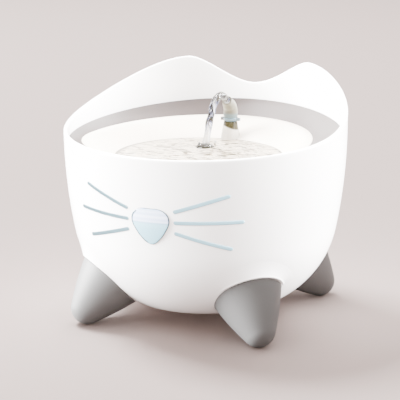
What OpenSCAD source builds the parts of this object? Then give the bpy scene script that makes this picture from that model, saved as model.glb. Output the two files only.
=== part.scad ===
// Pet water fountain: a round bowl on four feet, with a raised two-peak rear rim, a lift-out
// drinking tray, a swivelling spout, and a pump and filter inside. Millimetres.
// The origin is on the floor under the bowl's axis, +Z is up and the nose window faces -Y.

/* [Bowl shell] */
// Outer radius of the bowl at its rim
bowl_r = 120; // [116:1:124]
// Radius of the side's long curve
side_r = 450; // [430:5:470]
// Angle that the side turns through before the belly starts, in degrees
belly_a = 10.7; // [10:0.1:11.5]
// Radius of the belly's curve
belly_r = 85; // [83:1:87]
// How deep the flat underside is cut into the belly's curve
belly_sink = 8.8; // [7:0.2:10]
// Height of the bowl's underside above the floor
floor_gap = 16; // [15:0.5:18]
// Wall thickness of the shell
wall = 3; // [2.5:0.1:3.5]
// How far the ledge that carries the tray lies below the dish's edge
ledge_drop = 19; // [17:1:22]
// Depth of the ledge, inwards from the wall
ledge_w = 4; // [3:0.5:6]

/* [Rear rim] */
// Rim height at the front
rim_front_z = 157; // [155:1:160]
// Slow rise of the rim from front to back
rim_rise = 6.6; // [5:0.2:8]
// Height of each peak above the rise
peak_h = 41.8; // [34:0.2:46]
// Angle of each peak from the back, in degrees
peak_a = 30.6; // [28:0.2:34]
// Spread of a peak towards the back, in degrees
peak_in = 24; // [22:0.2:28]
// Spread of a peak towards the front, in degrees
peak_out = 44.6; // [40:0.2:48]
// Sharpness of a peak
peak_power = 1.68; // [1.5:0.02:2]
// How widely the valley between the peaks is rounded, in degrees
valley_soft = 9; // [4:0.5:12]

/* [Feet] */
// Angle of the front feet from the front, in degrees
foot_front_a = 45; // [42:0.2:48]
// Angle of the rear feet from the back, in degrees
foot_rear_a = 48.8; // [45:0.2:50]
// How far a foot's base centre lies inside the bowl's radius
foot_in = 33.3; // [32.5:0.1:34]
// How far a foot's axis dips below level, in degrees
foot_dip = 46.6; // [45:0.2:48]
// Radius of a foot's base
foot_r = 29.1; // [28.5:0.1:30]
// Distance from base to the centre of the round tip
foot_len = 31.7; // [31.4:0.1:32.2]
// Radius of the round tip
foot_tip_r = 14; // [13.8:0.1:14.5]
// How much of the round tip is cut flat to stand on
foot_cut = 0.4; // [0.3:0.1:0.8]
// Radius of the curve along a foot's side
foot_side_r = 265; // [200:5:300]
// Wall thickness of a foot
foot_wall = 3; // [2:0.5:4]
// Radius of the spigot that plugs a foot into the shell
spigot_r = 10; // [7:0.5:12]
// Length of the spigot
spigot_len = 8; // [5:0.5:10]
// Width of the shell's raised edge round a foot
hip_w = 2.6; // [2:0.2:4]
// How far the raised hip runs up into the bowl
hip_len = 24; // [20:1:28]
// Radius that the hip loses over its length
hip_taper = 4; // [3:0.5:6]
// Thickness of the land inside the shell behind a foot
land_t = 3.2; // [2.6:0.2:4]

/* [Nose and whiskers] */
// Height of the nose window's centre
nose_z = 103.6; // [100:0.2:106]
// Mean radius of the nose window's outline
nose_r = 15.6; // [14:0.2:16.4]
// How much the outline swells at its three corners
nose_lobe = 0.12; // [0.06:0.01:0.14]
// Radius of the nose lens's dome
nose_dome_r = 85; // [75:1:95]
// How far the dome's crown stands out of the wall
nose_proud = 1.9; // [1.4:0.1:2.4]
// Width of the nose window's inner flange
nose_flange = 3; // [2:0.5:4]
// Thickness of the nose window's inner flange
nose_flange_t = 2; // [1.5:0.5:3]
// Thickness left for the gasket in front of the flange
gasket_t = 1.2; // [1:0.1:2]
// Width of a whisker
whisker_w = 2.5; // [2:0.1:3.5]
// Sideways distance of the whiskers' inner ends
whisker_in_x = 20.8; // [19:0.2:24]
// Sideways distance of the outer ends, from the top whisker to the lowest
whisker_out_x = [60.2, 68.9, 60.1]; // [50:1:75]
// Height of the inner ends, from the top whisker to the lowest
whisker_in_z = [115.7, 106.6, 97.7]; // [90:1:125]
// Height of the outer ends, from the top whisker to the lowest
whisker_out_z = [128.7, 107.3, 85]; // [80:1:129]
// How far the whiskers stand out of the wall
whisker_proud = 0.5; // [0.2:0.1:1]

/* [Tray] */
// Gap between the tray's upper edge and the shell
tray_gap = 0.4; // [0.3:0.1:1]
// Gap between the tray's foot and the ledge
seat_gap = 0.3; // [0.2:0.1:0.5]
// Inward draft of the tray's skirt, top to bottom
tray_draft = 0.7; // [0.6:0.1:1.5]
// How far the ring's outer edge lies below the dish's edge at the front
ring_lip = 3.5; // [2:0.5:5]
// Rise of the tray ring's edge to the back
ring_rise = 16.5; // [10:0.5:18]
// Wall thickness of the tray ring
ring_t = 2.6; // [2:0.2:3]
// How far the dish's edge lies below the front rim
dish_in_z = 3; // [2:0.5:4]
// Drop of the dish's edge at the front
dish_drop = 2.5; // [1:0.5:3]
// Width of the ring's band at the sides
band_side = 20.3; // [19:0.1:25]
// Width of the ring's band at the back
band_back = 18.6; // [18:0.1:24]
// Width of the ring's band at the front
band_front = 12.6; // [11:0.1:14]
// Place along Y of the dish's widest point
dish_y = -28; // [-30:1:-26]
// Wall thickness of the dish
dish_t = 2.4; // [2:0.2:2.6]
// Width of the dish's flat lip, which rests on the ring's shelf
lip_w = 5; // [4:0.5:6]
// How far the pool's waterline lies inside the bowl's radius
pool_in = 49; // [47:1:52]
// Place of the pool's centre along Y
pool_y = -15; // [-17:1:-13]
// How far the pool's waterline lies below the dish's edge
pool_drop = 14; // [12:0.5:15]
// Width of the pool's slope between its flat floor and its waterline
pool_slope = 19; // [17:1:20]
// Depth of the pool under its waterline
pool_depth = 11; // [9:0.5:12]
// Radius of a drain hole
drain_r = 1.8; // [1.2:0.1:2.2]
// Spacing of the drain holes
drain_pitch = 6; // [5:0.5:7]
// How far the drain's centre lies in front of the filter's centre
drain_off = 10; // [8:1:11]

/* [Stem and spout] */
// How far the stem stands inside the edge of the bowl's flat floor
stem_in = 5.6; // [5:0.1:8]
// Radius of the stem's foot
stem_r = 8.5; // [7.5:0.1:9]
// Radius of the stem's shoulder
stem_top_r = 6; // [5.6:0.1:7]
// Height above the waterline where the stem starts to narrow
stem_cone = 1; // [0:0.5:4]
// Height of the stem's shoulder above the waterline
stem_h = 15.5; // [12:0.5:18]
// Radius of the water way in the stem
stem_bore_r = 3; // [2:0.2:3.4]
// Radius of the pin on which the spout swivels
pin_r = 4.5; // [4.2:0.1:5]
// Length of that pin
pin_len = 8; // [6:0.5:9]
// Radial clearance of running fits
run_fit = 0.05; // [0.02:0.01:0.09]
// Outer radius of the spout collar
collar_r = 6.6; // [6.2:0.1:7.5]
// Thickness of the spout collar
collar_t = 3.2; // [2.5:0.1:4]
// Reach of the collar's lugs from the stem's axis
lug_reach = 8.5; // [8:0.1:10]
// Width of a lug
lug_w = 3; // [2:0.5:4]
// Height of the spout elbow above its collar
bell_h = 17.5; // [15:0.5:20]
// Radius of the spout elbow at its foot
bell_r = 6.3; // [6:0.1:7]
// Radius of the spout's mouth
mouth_r = 4.4; // [4:0.1:4.8]
// Length of the mouth from the stem's axis
mouth_len = 12; // [10:0.5:14]
// Upward tilt of the mouth, in degrees
mouth_tilt = 40; // [30:1:45]
// Wall thickness of the spout elbow
bell_t = 1.3; // [1:0.1:1.6]

/* [Riser] */
// Outer radius of the riser tube
riser_r = 7.5; // [7:0.1:8]
// How far the riser tube's upper end lies below the pool's floor
riser_drop = 5; // [4:0.5:8]
// Thickness of the ring seal
seal_t = 1.8; // [1.4:0.1:2.2]
// Distance of the ring seal below the riser's upper end
seal_drop = 5; // [3:0.5:8]
// Wall thickness of the socket round the riser
socket_t = 2; // [1.6:0.2:3]
// Length of riser tube that the socket takes
socket_len = 12; // [10:1:16]
// Gap between the socket and the seal
socket_gap = 0.3; // [0.2:0.1:0.5]
// Thickness of the web between socket and stem
web_t = 4; // [3:0.5:5]

/* [Pump] */
// Half width of the pump
pump_x = 20; // [19:0.5:22]
// Height of the suction cups under the pump
cup_h = 4; // [3.5:0.5:6]
// Height of the pump's body
pump_h = 42; // [42:0.5:44]
// Length of the motor housing
motor_len = 33; // [32:0.5:36]
// Wall thickness of the pump's housings
pump_t = 2; // [1.6:0.2:2.4]
// Radius of the housings' long edges
pump_edge_r = 6; // [4:0.5:8]
// Height of the rotor's axis above the pump's underside
rotor_up = 27; // [26:0.5:28]
// Depth of the impeller chamber, with its floor
chamber_len = 13; // [12:0.5:14]
// Radius of the impeller chamber
chamber_r = 13; // [12.5:0.1:13.2]
// Radius of the outlet's water way
outlet_r = 4; // [3:0.2:4.4]
// Outer radius of the outlet
outlet_wall_r = 5.5; // [5.4:0.1:6]
// Length of the outlet above the pump
outlet_len = 10; // [8:1:14]
// Radius of the rotor's well
well_r = 8; // [7.6:0.1:8.4]
// Wall thickness of the rotor's well
well_t = 1; // [0.8:0.1:1.2]
// Radius of the rotor magnet
magnet_r = 7; // [6:0.1:7.2]
// Length of the rotor magnet
magnet_len = 19; // [16:0.5:20]
// Radius of the shaft
shaft_r = 1; // [0.8:0.1:1.2]
// Radius of the impeller
impeller_r = 11.5; // [10:0.1:12]
// Number of impeller blades
blades = 6; // [4:1:8]
// Height of the impeller blades
blade_h = 5.5; // [4:0.5:6]
// Thickness of an impeller blade
blade_t = 1.1; // [0.8:0.1:1.6]
// Thickness of the stator core's stack
core_t = 15; // [13:0.5:16]
// Width of the stator core's legs and yoke
core_leg = 6; // [5:0.5:6.5]
// Height of the stator core's underside above the pump's underside
core_lift = 8; // [7.5:0.5:9]
// Thickness of the winding
coil_t = 2.6; // [2:0.1:2.8]
// Thickness of the pump's intake cover
cover_t = 2.5; // [2:0.1:3]
// Number of intake slots in the cover
slots = 8; // [6:1:9]
// Thickness of the flow dial
dial_t = 2; // [1.5:0.1:2.5]
// Radius of the flow dial
dial_r = 12; // [11:0.1:13]
// Radius of the cable gland on the pump
gland_r = 4; // [3:0.5:5]
// Radius of the cable's way through gland and grommet
cable_r = 2; // [1.5:0.1:2.4]

/* [Filter] */
// How far the filter well lies inside the edge of the pool's flat floor
filter_in = 2; // [1:0.5:4]
// Outer radius of the filter well
fwell_r = 27; // [25:0.5:28]
// Wall thickness of the filter well
fwell_t = 2.2; // [1.8:0.2:2.6]
// Height of the filter well
fwell_h = 26; // [20:1:30]
// Gap round the filter cartridge
filter_gap = 0.5; // [0.3:0.1:0.8]
// Height of the filter cartridge
filter_h = 22; // [18:1:24]
// Wall thickness of the filter cartridge
filter_t = 1.4; // [1:0.2:2]
// Share of the cartridge that the carbon fills
carbon_share = 0.6; // [0.4:0.05:0.7]
// Radius of the cartridge's pull knob
knob_r = 6; // [5:0.5:8]
// Length of the cartridge's pull knob
knob_len = 7; // [5:1:10]

/* [Cable grommet] */
// How far the grommet in the rear wall lies below the ledge
grommet_drop = 13; // [11:1:17]
// Radius of the grommet's neck
grommet_r = 4.6; // [4:0.2:5]
// Thickness of the grommet's flanges
grommet_t = 1.5; // [1:0.1:2]
// Width of the grommet's flanges
grommet_flange = 1.8; // [1.4:0.1:2.2]
// Wall left between the grommet's flanges
grommet_web = 2; // [1.6:0.1:2.2]

/* [Hidden] */
$fn = 96;
cut = 1;                       // how far a cutting tool runs past a face
slip = 0.02;                   // radial gap of a piece that is pushed in
big = 400;                     // larger than the whole object
top_z = rim_front_z + rim_rise + peak_h + 3 * wall;
belly_c = [
    bowl_r - side_r + (side_r - belly_r) * cos(belly_a),
    floor_gap + belly_r - belly_sink
];
side_c = belly_c - (side_r - belly_r) * [cos(belly_a), -sin(belly_a)];
side_top_z = side_c[1];        // above this height the wall is straight
floor_in_r = belly_c[0] + sqrt(pow(belly_r - wall, 2) - pow(belly_c[1] - floor_gap - wall, 2));
foot_rho = bowl_r - foot_in;
foot_z = foot_len * sin(foot_dip) + foot_tip_r - foot_cut;
foot_turn = [90 - foot_rear_a, 90 + foot_rear_a, 270 - foot_front_a, 270 + foot_front_a];
dish_z = rim_front_z - dish_in_z;
ledge_z = dish_z - ledge_drop;
pool_z = dish_z - pool_drop;
floor_z = pool_z - pool_depth;
pool_r = bowl_r - pool_in;
pool_floor_r = pool_r - pool_slope;
stem_y = floor_in_r - stem_in;
pump_z = floor_gap + wall + cup_h;
rotor_z = pump_z + rotor_up;
steps_side = 8;                // facets along the side's curve
steps_belly = 18;              // facets along the belly's curve
rim_steps = 96;                // facets round the rim
ring_steps = 72;               // facets round the tray

function arc(c, r, a0, a1, n) =
    [for (i = [0:n]) let (a = a0 + (a1 - a0) * i / n) c + r * [cos(a), sin(a)]];
function lerp(a, b, t) = a + (b - a) * t;
function bell_curve(x, w, p) = exp(-pow(abs(x) / w, p));

// ---- bowl shell ----

// Profile of the bowl, moved outwards by o
function bowl_bottom_a(o) = asin((belly_c[1] - floor_gap + o) / (belly_r + o));
function bowl_profile(o, top) = concat(
    [[0, floor_gap - o]],
    arc(belly_c, belly_r + o, -bowl_bottom_a(o), -belly_a, steps_belly),
    arc(side_c, side_r + o, -belly_a * (1 - 1 / steps_side), 0, steps_side - 1),
    [[bowl_r + o, top], [0, top]]
);
function bowl_radius(z, o) = z >= side_top_z ? bowl_r + o
    : side_c[0] + sqrt(pow(side_r + o, 2) - pow(side_top_z - z, 2));

module bowl_body(o, top = top_z) rotate_extrude($fn = 240) polygon(bowl_profile(o, top));

// Height of the rim at an angle from the back
function rim_z(a) = let (b = norm([a > 180 ? 360 - a : a, valley_soft])) rim_front_z
    + rim_rise * pow((1 + cos(a)) / 2, 0.8)
    + peak_h * bell_curve(b - peak_a, b < peak_a ? peak_in : peak_out, peak_power);

// Everything above the rim line, to be cut away
module above_rim() {
    r_in = bowl_r - 4 * wall;
    r_out = bowl_r + 3 * wall;
    n = rim_steps;
    pts = [for (i = [0:n - 1]) let (a = 360 * i / n, u = [sin(a), cos(a)], z = rim_z(a))
        each [
            [each r_in * u, z],
            [each r_out * u, z],
            [each r_out * u, top_z + cut],
            [each r_in * u, top_z + cut]
        ]];
    polyhedron(pts, [for (i = [0:n - 1], k = [0:3]) let (j = (i + 1) % n, l = (k + 1) % 4)
        each [[4 * i + k, 4 * j + k, 4 * j + l], [4 * i + k, 4 * j + l, 4 * i + l]]]);
}

// Foot k stands along the local +Z: rear right, rear left, front left, front right
module at_foot(k) rotate([0, 0, foot_turn[k]]) translate([foot_rho, 0, foot_z])
    rotate([0, 90 + foot_dip, 0]) children();

module ledge() rotate_extrude() polygon([
    [bowl_radius(ledge_z, -wall / 2), ledge_z],
    [bowl_radius(ledge_z, -wall) - ledge_w, ledge_z],
    [bowl_radius(ledge_z, -wall) - ledge_w, ledge_z - wall / 3],
    [bowl_radius(ledge_z, -wall / 2), ledge_z - ledge_w - wall / 2]
]);

// A bar from a to b with round ends
module capsule(a, b, w) {
    turn = atan2(b[1] - a[1], b[0] - a[0]);
    polygon(concat(arc(b, w / 2, turn - 90, turn + 90, 8), arc(a, w / 2, turn + 90, turn + 270, 8)));
}

// The six whisker outlines, seen from the front
module whisker_outlines(grow = 0) for (s = [-1, 1], i = [0:2])
    capsule([s * whisker_in_x, whisker_in_z[i]], [s * whisker_out_x[i], whisker_out_z[i]], whisker_w + 2 * grow);

// Nose outline: a circle that swells at three corners, with one corner down
function nose_outline(grow) = [for (i = [0:47]) let (a = 360 * i / 48)
    [0, nose_z] + (nose_r * (1 + nose_lobe * cos(3 * (a + 90))) + grow) * [cos(a), sin(a)]];

// Drives an outline seen from the front through the front wall
module through_front(y0, y1) translate([0, -y0, 0]) rotate([90, 0, 0]) linear_extrude(y1 - y0) children();

window_fit = 0.1;              // gap round the windows
front_y = bowl_radius(nose_z, 0);
front_out = bowl_r + nose_proud + cut;
flange_y = bowl_radius(nose_z - nose_r * (1 + nose_lobe) - nose_flange, -wall) - gasket_t;
whisker_reach = max(whisker_out_x) + whisker_w;
whisker_y = sqrt(pow(bowl_radius(min(whisker_out_z), -wall), 2) - pow(whisker_reach, 2)) - cut;
grommet_z = ledge_z - grommet_drop;
grommet_sink = 0.5;            // depth of the seat of the grommet's outer flange
grommet_wall_y = bowl_radius(grommet_z, 0) - grommet_sink;
grommet_run = 10;              // how far the grommet's cuts run past the wall
grommet_hole_r = grommet_r + window_fit;
grommet_out_r = grommet_r + grommet_flange;

module along_y(y) translate([0, y, 0]) rotate([-90, 0, 0]) children();

module shell() color("white") difference() {
    union() {
        difference() {
            union() {
                bowl_body(0);
                for (k = [0:3]) at_foot(k) translate([0, 0, -hip_len])
                    cylinder(h = hip_len, r1 = foot_r + hip_w - hip_taper, r2 = foot_r + hip_w);
            }
            bowl_body(-wall, top_z + cut);
            for (k = [0:3]) at_foot(k) cylinder(h = foot_len, r = foot_r + window_fit);
            above_rim();
        }
        ledge();
        for (k = [0:3]) at_foot(k) {
            translate([0, 0, -land_t]) cylinder(h = land_t, r = foot_r + hip_w / 3);
            translate([0, 0, -spigot_len - wall])
                cylinder(h = spigot_len + wall - land_t / 3, r = spigot_r + wall);
        }
    }
    for (k = [0:3]) at_foot(k) translate([0, 0, -spigot_len]) cylinder(h = spigot_len + cut, r = spigot_r);
    through_front(whisker_y, front_out) whisker_outlines(window_fit);
    through_front(flange_y - cut, front_out) polygon(nose_outline(window_fit));
    translate([0, 0, grommet_z]) {
        along_y(grommet_wall_y - grommet_run) cylinder(h = 2 * grommet_run, r = grommet_hole_r);
        along_y(grommet_wall_y) cylinder(h = grommet_run, r = grommet_out_r + window_fit);
        along_y(grommet_wall_y - grommet_web - grommet_run)
            cylinder(h = grommet_run, r = grommet_out_r + window_fit);
    }
}

module cable_grommet() color("dimgray") translate([0, 0, grommet_z]) difference() {
    union() {
        along_y(grommet_wall_y - grommet_web) cylinder(h = grommet_web, r = grommet_r);
        along_y(grommet_wall_y) cylinder(h = grommet_t, r = grommet_out_r);
        along_y(grommet_wall_y - grommet_web - grommet_t) cylinder(h = grommet_t, r = grommet_out_r);
    }
    along_y(grommet_wall_y - grommet_run) cylinder(h = 2 * grommet_run, r = cable_r);
}

// ---- feet ----

foot_p = [foot_r, 0];
foot_t = [0, foot_len];
foot_d = norm(foot_t - foot_p);
foot_u = (foot_t - foot_p) / foot_d;
foot_k = (pow(foot_side_r, 2) - pow(foot_side_r - foot_tip_r, 2) + foot_d * foot_d) / (2 * foot_d);
foot_c = foot_p + foot_k * foot_u + sqrt(pow(foot_side_r, 2) - foot_k * foot_k) * [-foot_u[1], foot_u[0]];
foot_a0 = atan2(foot_p[1] - foot_c[1], foot_p[0] - foot_c[0]);
foot_a1 = atan2(foot_t[1] - foot_c[1], foot_t[0] - foot_c[0]);

// Half outline of a foot: a long side curve that runs into the round tip, moved outwards by o
function foot_profile(o) = concat(
    [[0, min(0, o)]],
    o < 0 ? [[foot_r + o, o]] : [],
    arc(foot_c, foot_side_r + o, foot_a0, foot_a1, 10),
    arc(foot_t, foot_tip_r + o, foot_a1 + (90 - foot_a1) / 8, 90, 7)
);

module foot(k) color("darkgray") difference() {
    at_foot(k) {
        difference() {
            rotate_extrude() polygon(foot_profile(0));
            rotate_extrude() polygon(foot_profile(-foot_wall));
        }
        translate([0, 0, -spigot_len])
            cylinder(h = spigot_len + foot_len + foot_tip_r / 2, r = spigot_r - slip);
    }
    translate([-big / 2, -big / 2, -big]) cube(big);
}
module foot_rear_right() foot(0);
module foot_rear_left() foot(1);
module foot_front_left() foot(2);
module foot_front_right() foot(3);

// ---- nose and whiskers ----

module nose_window() color("lightblue") {
    tilt = atan2(bowl_radius(nose_z + nose_r, 0) - bowl_radius(nose_z - nose_r, 0), 2 * nose_r);
    sink = nose_dome_r - nose_proud;
    intersection() {
        through_front(flange_y, front_out) polygon(nose_outline(0));
        translate([0, sink * cos(tilt) - front_y, nose_z + sink * sin(tilt)]) sphere(r = nose_dome_r);
    }
    through_front(flange_y - nose_flange_t, flange_y) polygon(nose_outline(nose_flange));
}

module nose_gasket() color("gray") intersection() {
    difference() {
        through_front(flange_y, bowl_r) polygon(nose_outline(nose_flange));
        through_front(flange_y - cut, bowl_r + cut) polygon(nose_outline(0));
    }
    bowl_body(-wall - slip, side_top_z);
}

module whisker_windows() color("lightblue") intersection() {
    through_front(whisker_y, front_out) whisker_outlines();
    difference() {
        bowl_body(whisker_proud, side_top_z);
        bowl_body(-wall, side_top_z + cut);
    }
}

// ---- tray ----

tray_r = bowl_r - wall - tray_gap;
dish_x = tray_r - band_side;
dish_back = tray_r - band_back - dish_y;
dish_front = tray_r - band_front + dish_y;
ring_front_z = dish_z - ring_lip;
function ring_z(a) = ring_front_z + ring_rise * pow((1 + cos(a)) / 2, 2.1);
function edge_z(a) = dish_z - dish_drop * pow((1 - cos(a)) / 2, 3);
function edge_pt(a) = [dish_x * sin(a), dish_y + (cos(a) > 0 ? dish_back : dish_front) * cos(a)];
function pool_pt(a, r) = [r * sin(a), pool_y + r * cos(a)];
// A point of the dish's edge moved inwards by d, towards the pool
function edge_in(a, d) = let (e = edge_pt(a), p = pool_pt(a, pool_r)) e + d * (p - e) / norm(p - e);
function ring_pt(a, r, z) = [r * sin(a), r * cos(a), z];

// Joins the closed sections s, each a list of points, into a ring
module skin_loop(s) {
    n = len(s);
    m = len(s[0]);
    polyhedron([for (p = s) each p], [for (i = [0:n - 1], k = [0:m - 1]) let (j = (i + 1) % n, l = (k + 1) % m)
        each [[m * i + k, m * j + k, m * j + l], [m * i + k, m * j + l, m * i + l]]]);
}

// Stacks the closed rings s, each a list of points, and closes the first and last
module skin_stack(s) {
    n = len(s);
    m = len(s[0]);
    polyhedron([for (p = s) each p], concat(
        [[for (k = [0:m - 1]) k]],
        [[for (k = [m - 1:-1:0]) m * (n - 1) + k]],
        [for (i = [0:n - 2], k = [0:m - 1]) let (j = i + 1, l = (k + 1) % m)
            each [[m * i + k, m * j + k, m * j + l], [m * i + k, m * j + l, m * i + l]]]
    ));
}

shelf_t = 2;                   // thickness of the ring's shelf under the dish's lip
shelf_w = 3.5;                 // width of that shelf
skirt_z = ledge_z + seat_gap;

module tray_ring() color("silver") skin_loop([for (i = [0:ring_steps - 1])
    let (a = 360 * i / ring_steps, w = ring_z(a), e = edge_z(a), p = edge_pt(a), q = edge_in(a, shelf_w)) [
        ring_pt(a, tray_r - tray_draft, skirt_z),
        ring_pt(a, tray_r, w),
        [each p, e],
        [each p, e - dish_t],
        [each q, e - dish_t],
        [each q, e - dish_t - shelf_t],
        [each lerp(edge_in(a, 0), tray_r * [sin(a), cos(a)], 0.5), min(w, e) - dish_t - shelf_t],
        ring_pt(a, tray_r - ring_t, min(w, e) - dish_t - shelf_t),
        ring_pt(a, tray_r - tray_draft - ring_t, skirt_z)
    ]]);

function dish_rings(low) = [
    [for (i = [0:ring_steps - 1]) let (a = 360 * i / ring_steps) [each pool_pt(a, pool_floor_r), floor_z - low]],
    [for (i = [0:ring_steps - 1]) let (a = 360 * i / ring_steps)
        [each pool_pt(a, lerp(pool_floor_r, pool_r, 0.35)), lerp(floor_z, pool_z, 0.15) - low]],
    [for (i = [0:ring_steps - 1]) let (a = 360 * i / ring_steps)
        [each pool_pt(a, lerp(pool_floor_r, pool_r, 0.75)), lerp(floor_z, pool_z, 0.65) - low]],
    [for (i = [0:ring_steps - 1]) let (a = 360 * i / ring_steps) [each pool_pt(a, pool_r), pool_z - low]],
    [for (i = [0:ring_steps - 1]) let (a = 360 * i / ring_steps)
        [each lerp(pool_pt(a, pool_r), edge_in(a, lip_w), 0.5), lerp(pool_z, edge_z(a), 0.58) - low]],
    [for (i = [0:ring_steps - 1]) let (a = 360 * i / ring_steps)
        [each lerp(pool_pt(a, pool_r), edge_in(a, lip_w), 0.82), lerp(pool_z, edge_z(a), 0.92) - low]],
    [for (i = [0:ring_steps - 1]) let (a = 360 * i / ring_steps) [each edge_in(a, lip_w), edge_z(a) - low]],
    [for (i = [0:ring_steps - 1]) let (a = 360 * i / ring_steps) [each edge_in(a, slip), edge_z(a) - low]]
];

socket_r = riser_r + seal_t / 2 + socket_gap;
riser_top_z = floor_z - riser_drop;
socket_z = riser_top_z - socket_len;
web_gap = 2;                   // gap between the riser's end and the web above it
web_z = riser_top_z + web_gap;
stem_seat_z = web_z + web_t;
stem_cone_z = pool_z + stem_cone;
stem_top_z = pool_z + stem_h;
boss_top_z = pool_z - 0.4;     // the boss round the stem ends just under water
filter_y = pool_y - pool_floor_r + filter_in + fwell_r;
drain_y = filter_y - drain_off;
drain_reach = 2.1;             // radius of the drain's pattern, in pitches

module tray_dish() color("linen") difference() {
    union() {
        up = dish_rings(0);
        down = dish_rings(dish_t);
        n = len(up);
        skin_stack([each up, for (i = [n - 1:-1:0]) down[i]]);
        translate([0, stem_y, socket_z]) cylinder(h = boss_top_z - socket_z, r = socket_r + socket_t);
    }
    translate([0, stem_y, 0]) {
        translate([0, 0, socket_z - cut]) cylinder(h = web_z - socket_z + cut, r = socket_r);
        translate([0, 0, web_z - cut]) cylinder(h = web_t + 2 * cut, r = outlet_r);
        translate([0, 0, stem_seat_z]) cylinder(h = stem_top_z - stem_seat_z, r = stem_r);
    }
    for (i = [-2:2], j = [-2:2]) let (x = drain_pitch * (i + j / 2), y = drain_pitch * j * sin(60))
        if (norm([x, y]) < drain_reach * drain_pitch)
            translate([x, drain_y + y, floor_z - dish_t - cut])
                cylinder(h = dish_t + 2 * cut, r = drain_r, $fn = 24);
}

// ---- stem and spout ----

module stem() color("gainsboro") translate([0, stem_y, 0]) rotate_extrude() polygon([
    [stem_bore_r, stem_seat_z],
    [stem_r - slip, stem_seat_z],
    [stem_r - slip, stem_cone_z],
    [stem_top_r, stem_top_z],
    [pin_r, stem_top_z],
    [pin_r, stem_top_z + pin_len],
    [stem_bore_r, stem_top_z + pin_len]
]);

collar_z = stem_top_z + seat_gap;
collar_edge = 0.6;             // bevel of the collar's edges
lug_hole_r = 0.5;              // radius of the hole in a lug
bell_z = collar_z + collar_t;

module spout_collar() color("lightsteelblue") translate([0, stem_y, 0]) difference() {
    union() {
        translate([0, 0, collar_z]) rotate_extrude() polygon([
            [0, 0],
            [collar_r - collar_edge, 0],
            [collar_r, collar_edge],
            [collar_r, collar_t - collar_edge],
            [collar_r - collar_edge, collar_t],
            [0, collar_t]
        ]);
        for (s = [-1, 1]) translate([s * (lug_reach + collar_r) / 2, 0, collar_z + collar_t / 2])
            cube([lug_reach - collar_r + collar_edge, lug_w, collar_t - collar_edge], center = true);
    }
    translate([0, 0, collar_z - cut]) cylinder(h = collar_t + 2 * cut, r = pin_r + run_fit);
    for (s = [-1, 1]) translate([s * (lug_reach - 2 * lug_hole_r), 0, collar_z - cut])
        cylinder(h = collar_t + 2 * cut, r = lug_hole_r, $fn = 24);
}

mouth_z = bell_h - 2 * mouth_r;
crown_r = bell_r - 1;          // radius of the elbow's round crown
crown_z = mouth_z + mouth_r / 2;
pin_reach = stem_top_z + pin_len - bell_z + seat_gap;
module mouth(r, l) translate([0, 0, mouth_z]) rotate([90 - mouth_tilt, 0, 0]) cylinder(h = l, r = r);

module spout_bell() color("whitesmoke") translate([0, stem_y, bell_z]) difference() {
    union() {
        rotate_extrude() polygon(concat([[0, 0], [bell_r, 0]], arc([0, crown_z], crown_r, 10, 90, 10)));
        mouth(mouth_r, mouth_len);
    }
    translate([0, 0, -cut]) cylinder(h = pin_reach + cut, r = pin_r + run_fit);
    cylinder(h = crown_z, r = stem_bore_r);
    mouth(mouth_r - bell_t, mouth_len + cut);
}

// ---- riser ----

riser_gap = 0.5;               // gap between the pump's top and the riser's lower end
riser_z = pump_z + pump_h + riser_gap;
seal_z = riser_top_z - seal_drop;
module ring_seal(grow = 0) translate([0, stem_y, seal_z]) rotate_extrude()
    translate([riser_r - 0.1, 0]) circle(r = seal_t / 2 + grow, $fn = 32);

module riser_tube() color("lightcyan") difference() {
    translate([0, stem_y, riser_z]) cylinder(h = riser_top_z - riser_z, r = riser_r);
    translate([0, stem_y, riser_z - cut])
        cylinder(h = riser_top_z - riser_z + 2 * cut, r = outlet_wall_r + slip);
    ring_seal();
}
module riser_seal() color("dimgray") ring_seal();

// ---- pump ----

outlet_off = 0.5;              // how far the outlet lies behind the chamber's middle
chamber_y = stem_y - chamber_len / 2 - outlet_off;
motor_y = chamber_y - motor_len;
cover_y = chamber_y + chamber_len;
mid_z = pump_z + pump_h / 2;
core_z = pump_z + core_lift;
core_grip = 1;                 // how far the core's legs reach in over the well
core_in = 10;                  // distance of the core from the motor's end
core_gap = 2;                  // gap between the core's legs and the housing above
core_x = well_r + well_t + core_leg - core_grip;
core_y = motor_y + core_in;

// Rounded outline of the pump, seen from the front, shrunk by o
module pump_outline(o) {
    w = 2 * (pump_x - o);
    h = pump_h - 2 * o;
    r = pump_edge_r - o;
    translate([0, mid_z]) {
        square([w - 2 * r, h], center = true);
        square([w, h - 2 * r], center = true);
        for (sx = [-1, 1], sz = [-1, 1]) translate([sx * (w / 2 - r), sz * (h / 2 - r)])
            circle(r = r, $fn = 48);
    }
}
// Runs an outline seen from the front back from y by l
module run_back(y, l) translate([0, y + l, 0]) rotate([90, 0, 0]) linear_extrude(l) children();
// A bar or bore along Y on the rotor's axis
module on_axis(y, l, r) translate([0, y, rotor_z]) rotate([-90, 0, 0]) cylinder(h = l, r = r);

bush_len = 3;
bush_r = 3;
well_in = 6;                   // distance of the well's closed end from the motor's end
end_t = 0.5;                   // wall behind the well's bush, and the play at its ends
well_y = motor_y + well_in;
module motor_housing() color("dimgray") difference() {
    union() {
        difference() {
            run_back(motor_y, motor_len) pump_outline(0);
            run_back(motor_y - cut, motor_len - pump_t + cut) pump_outline(pump_t);
        }
        on_axis(well_y - end_t, chamber_y - well_y + end_t, well_r + well_t);
    }
    on_axis(well_y + bush_len + end_t, motor_len, well_r);
    on_axis(well_y + end_t, bush_len + cut, bush_r);
}

module core_outline() difference() {
    translate([-core_x, core_z]) square([2 * core_x, pump_z + pump_h - pump_t - core_gap - core_z]);
    translate([-core_x + core_leg, core_z + core_leg]) square([2 * (core_x - core_leg), pump_h]);
    translate([0, rotor_z]) circle(r = well_r + well_t + slip);
}
module stator_core() color("silver") run_back(core_y, core_t) core_outline();

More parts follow.
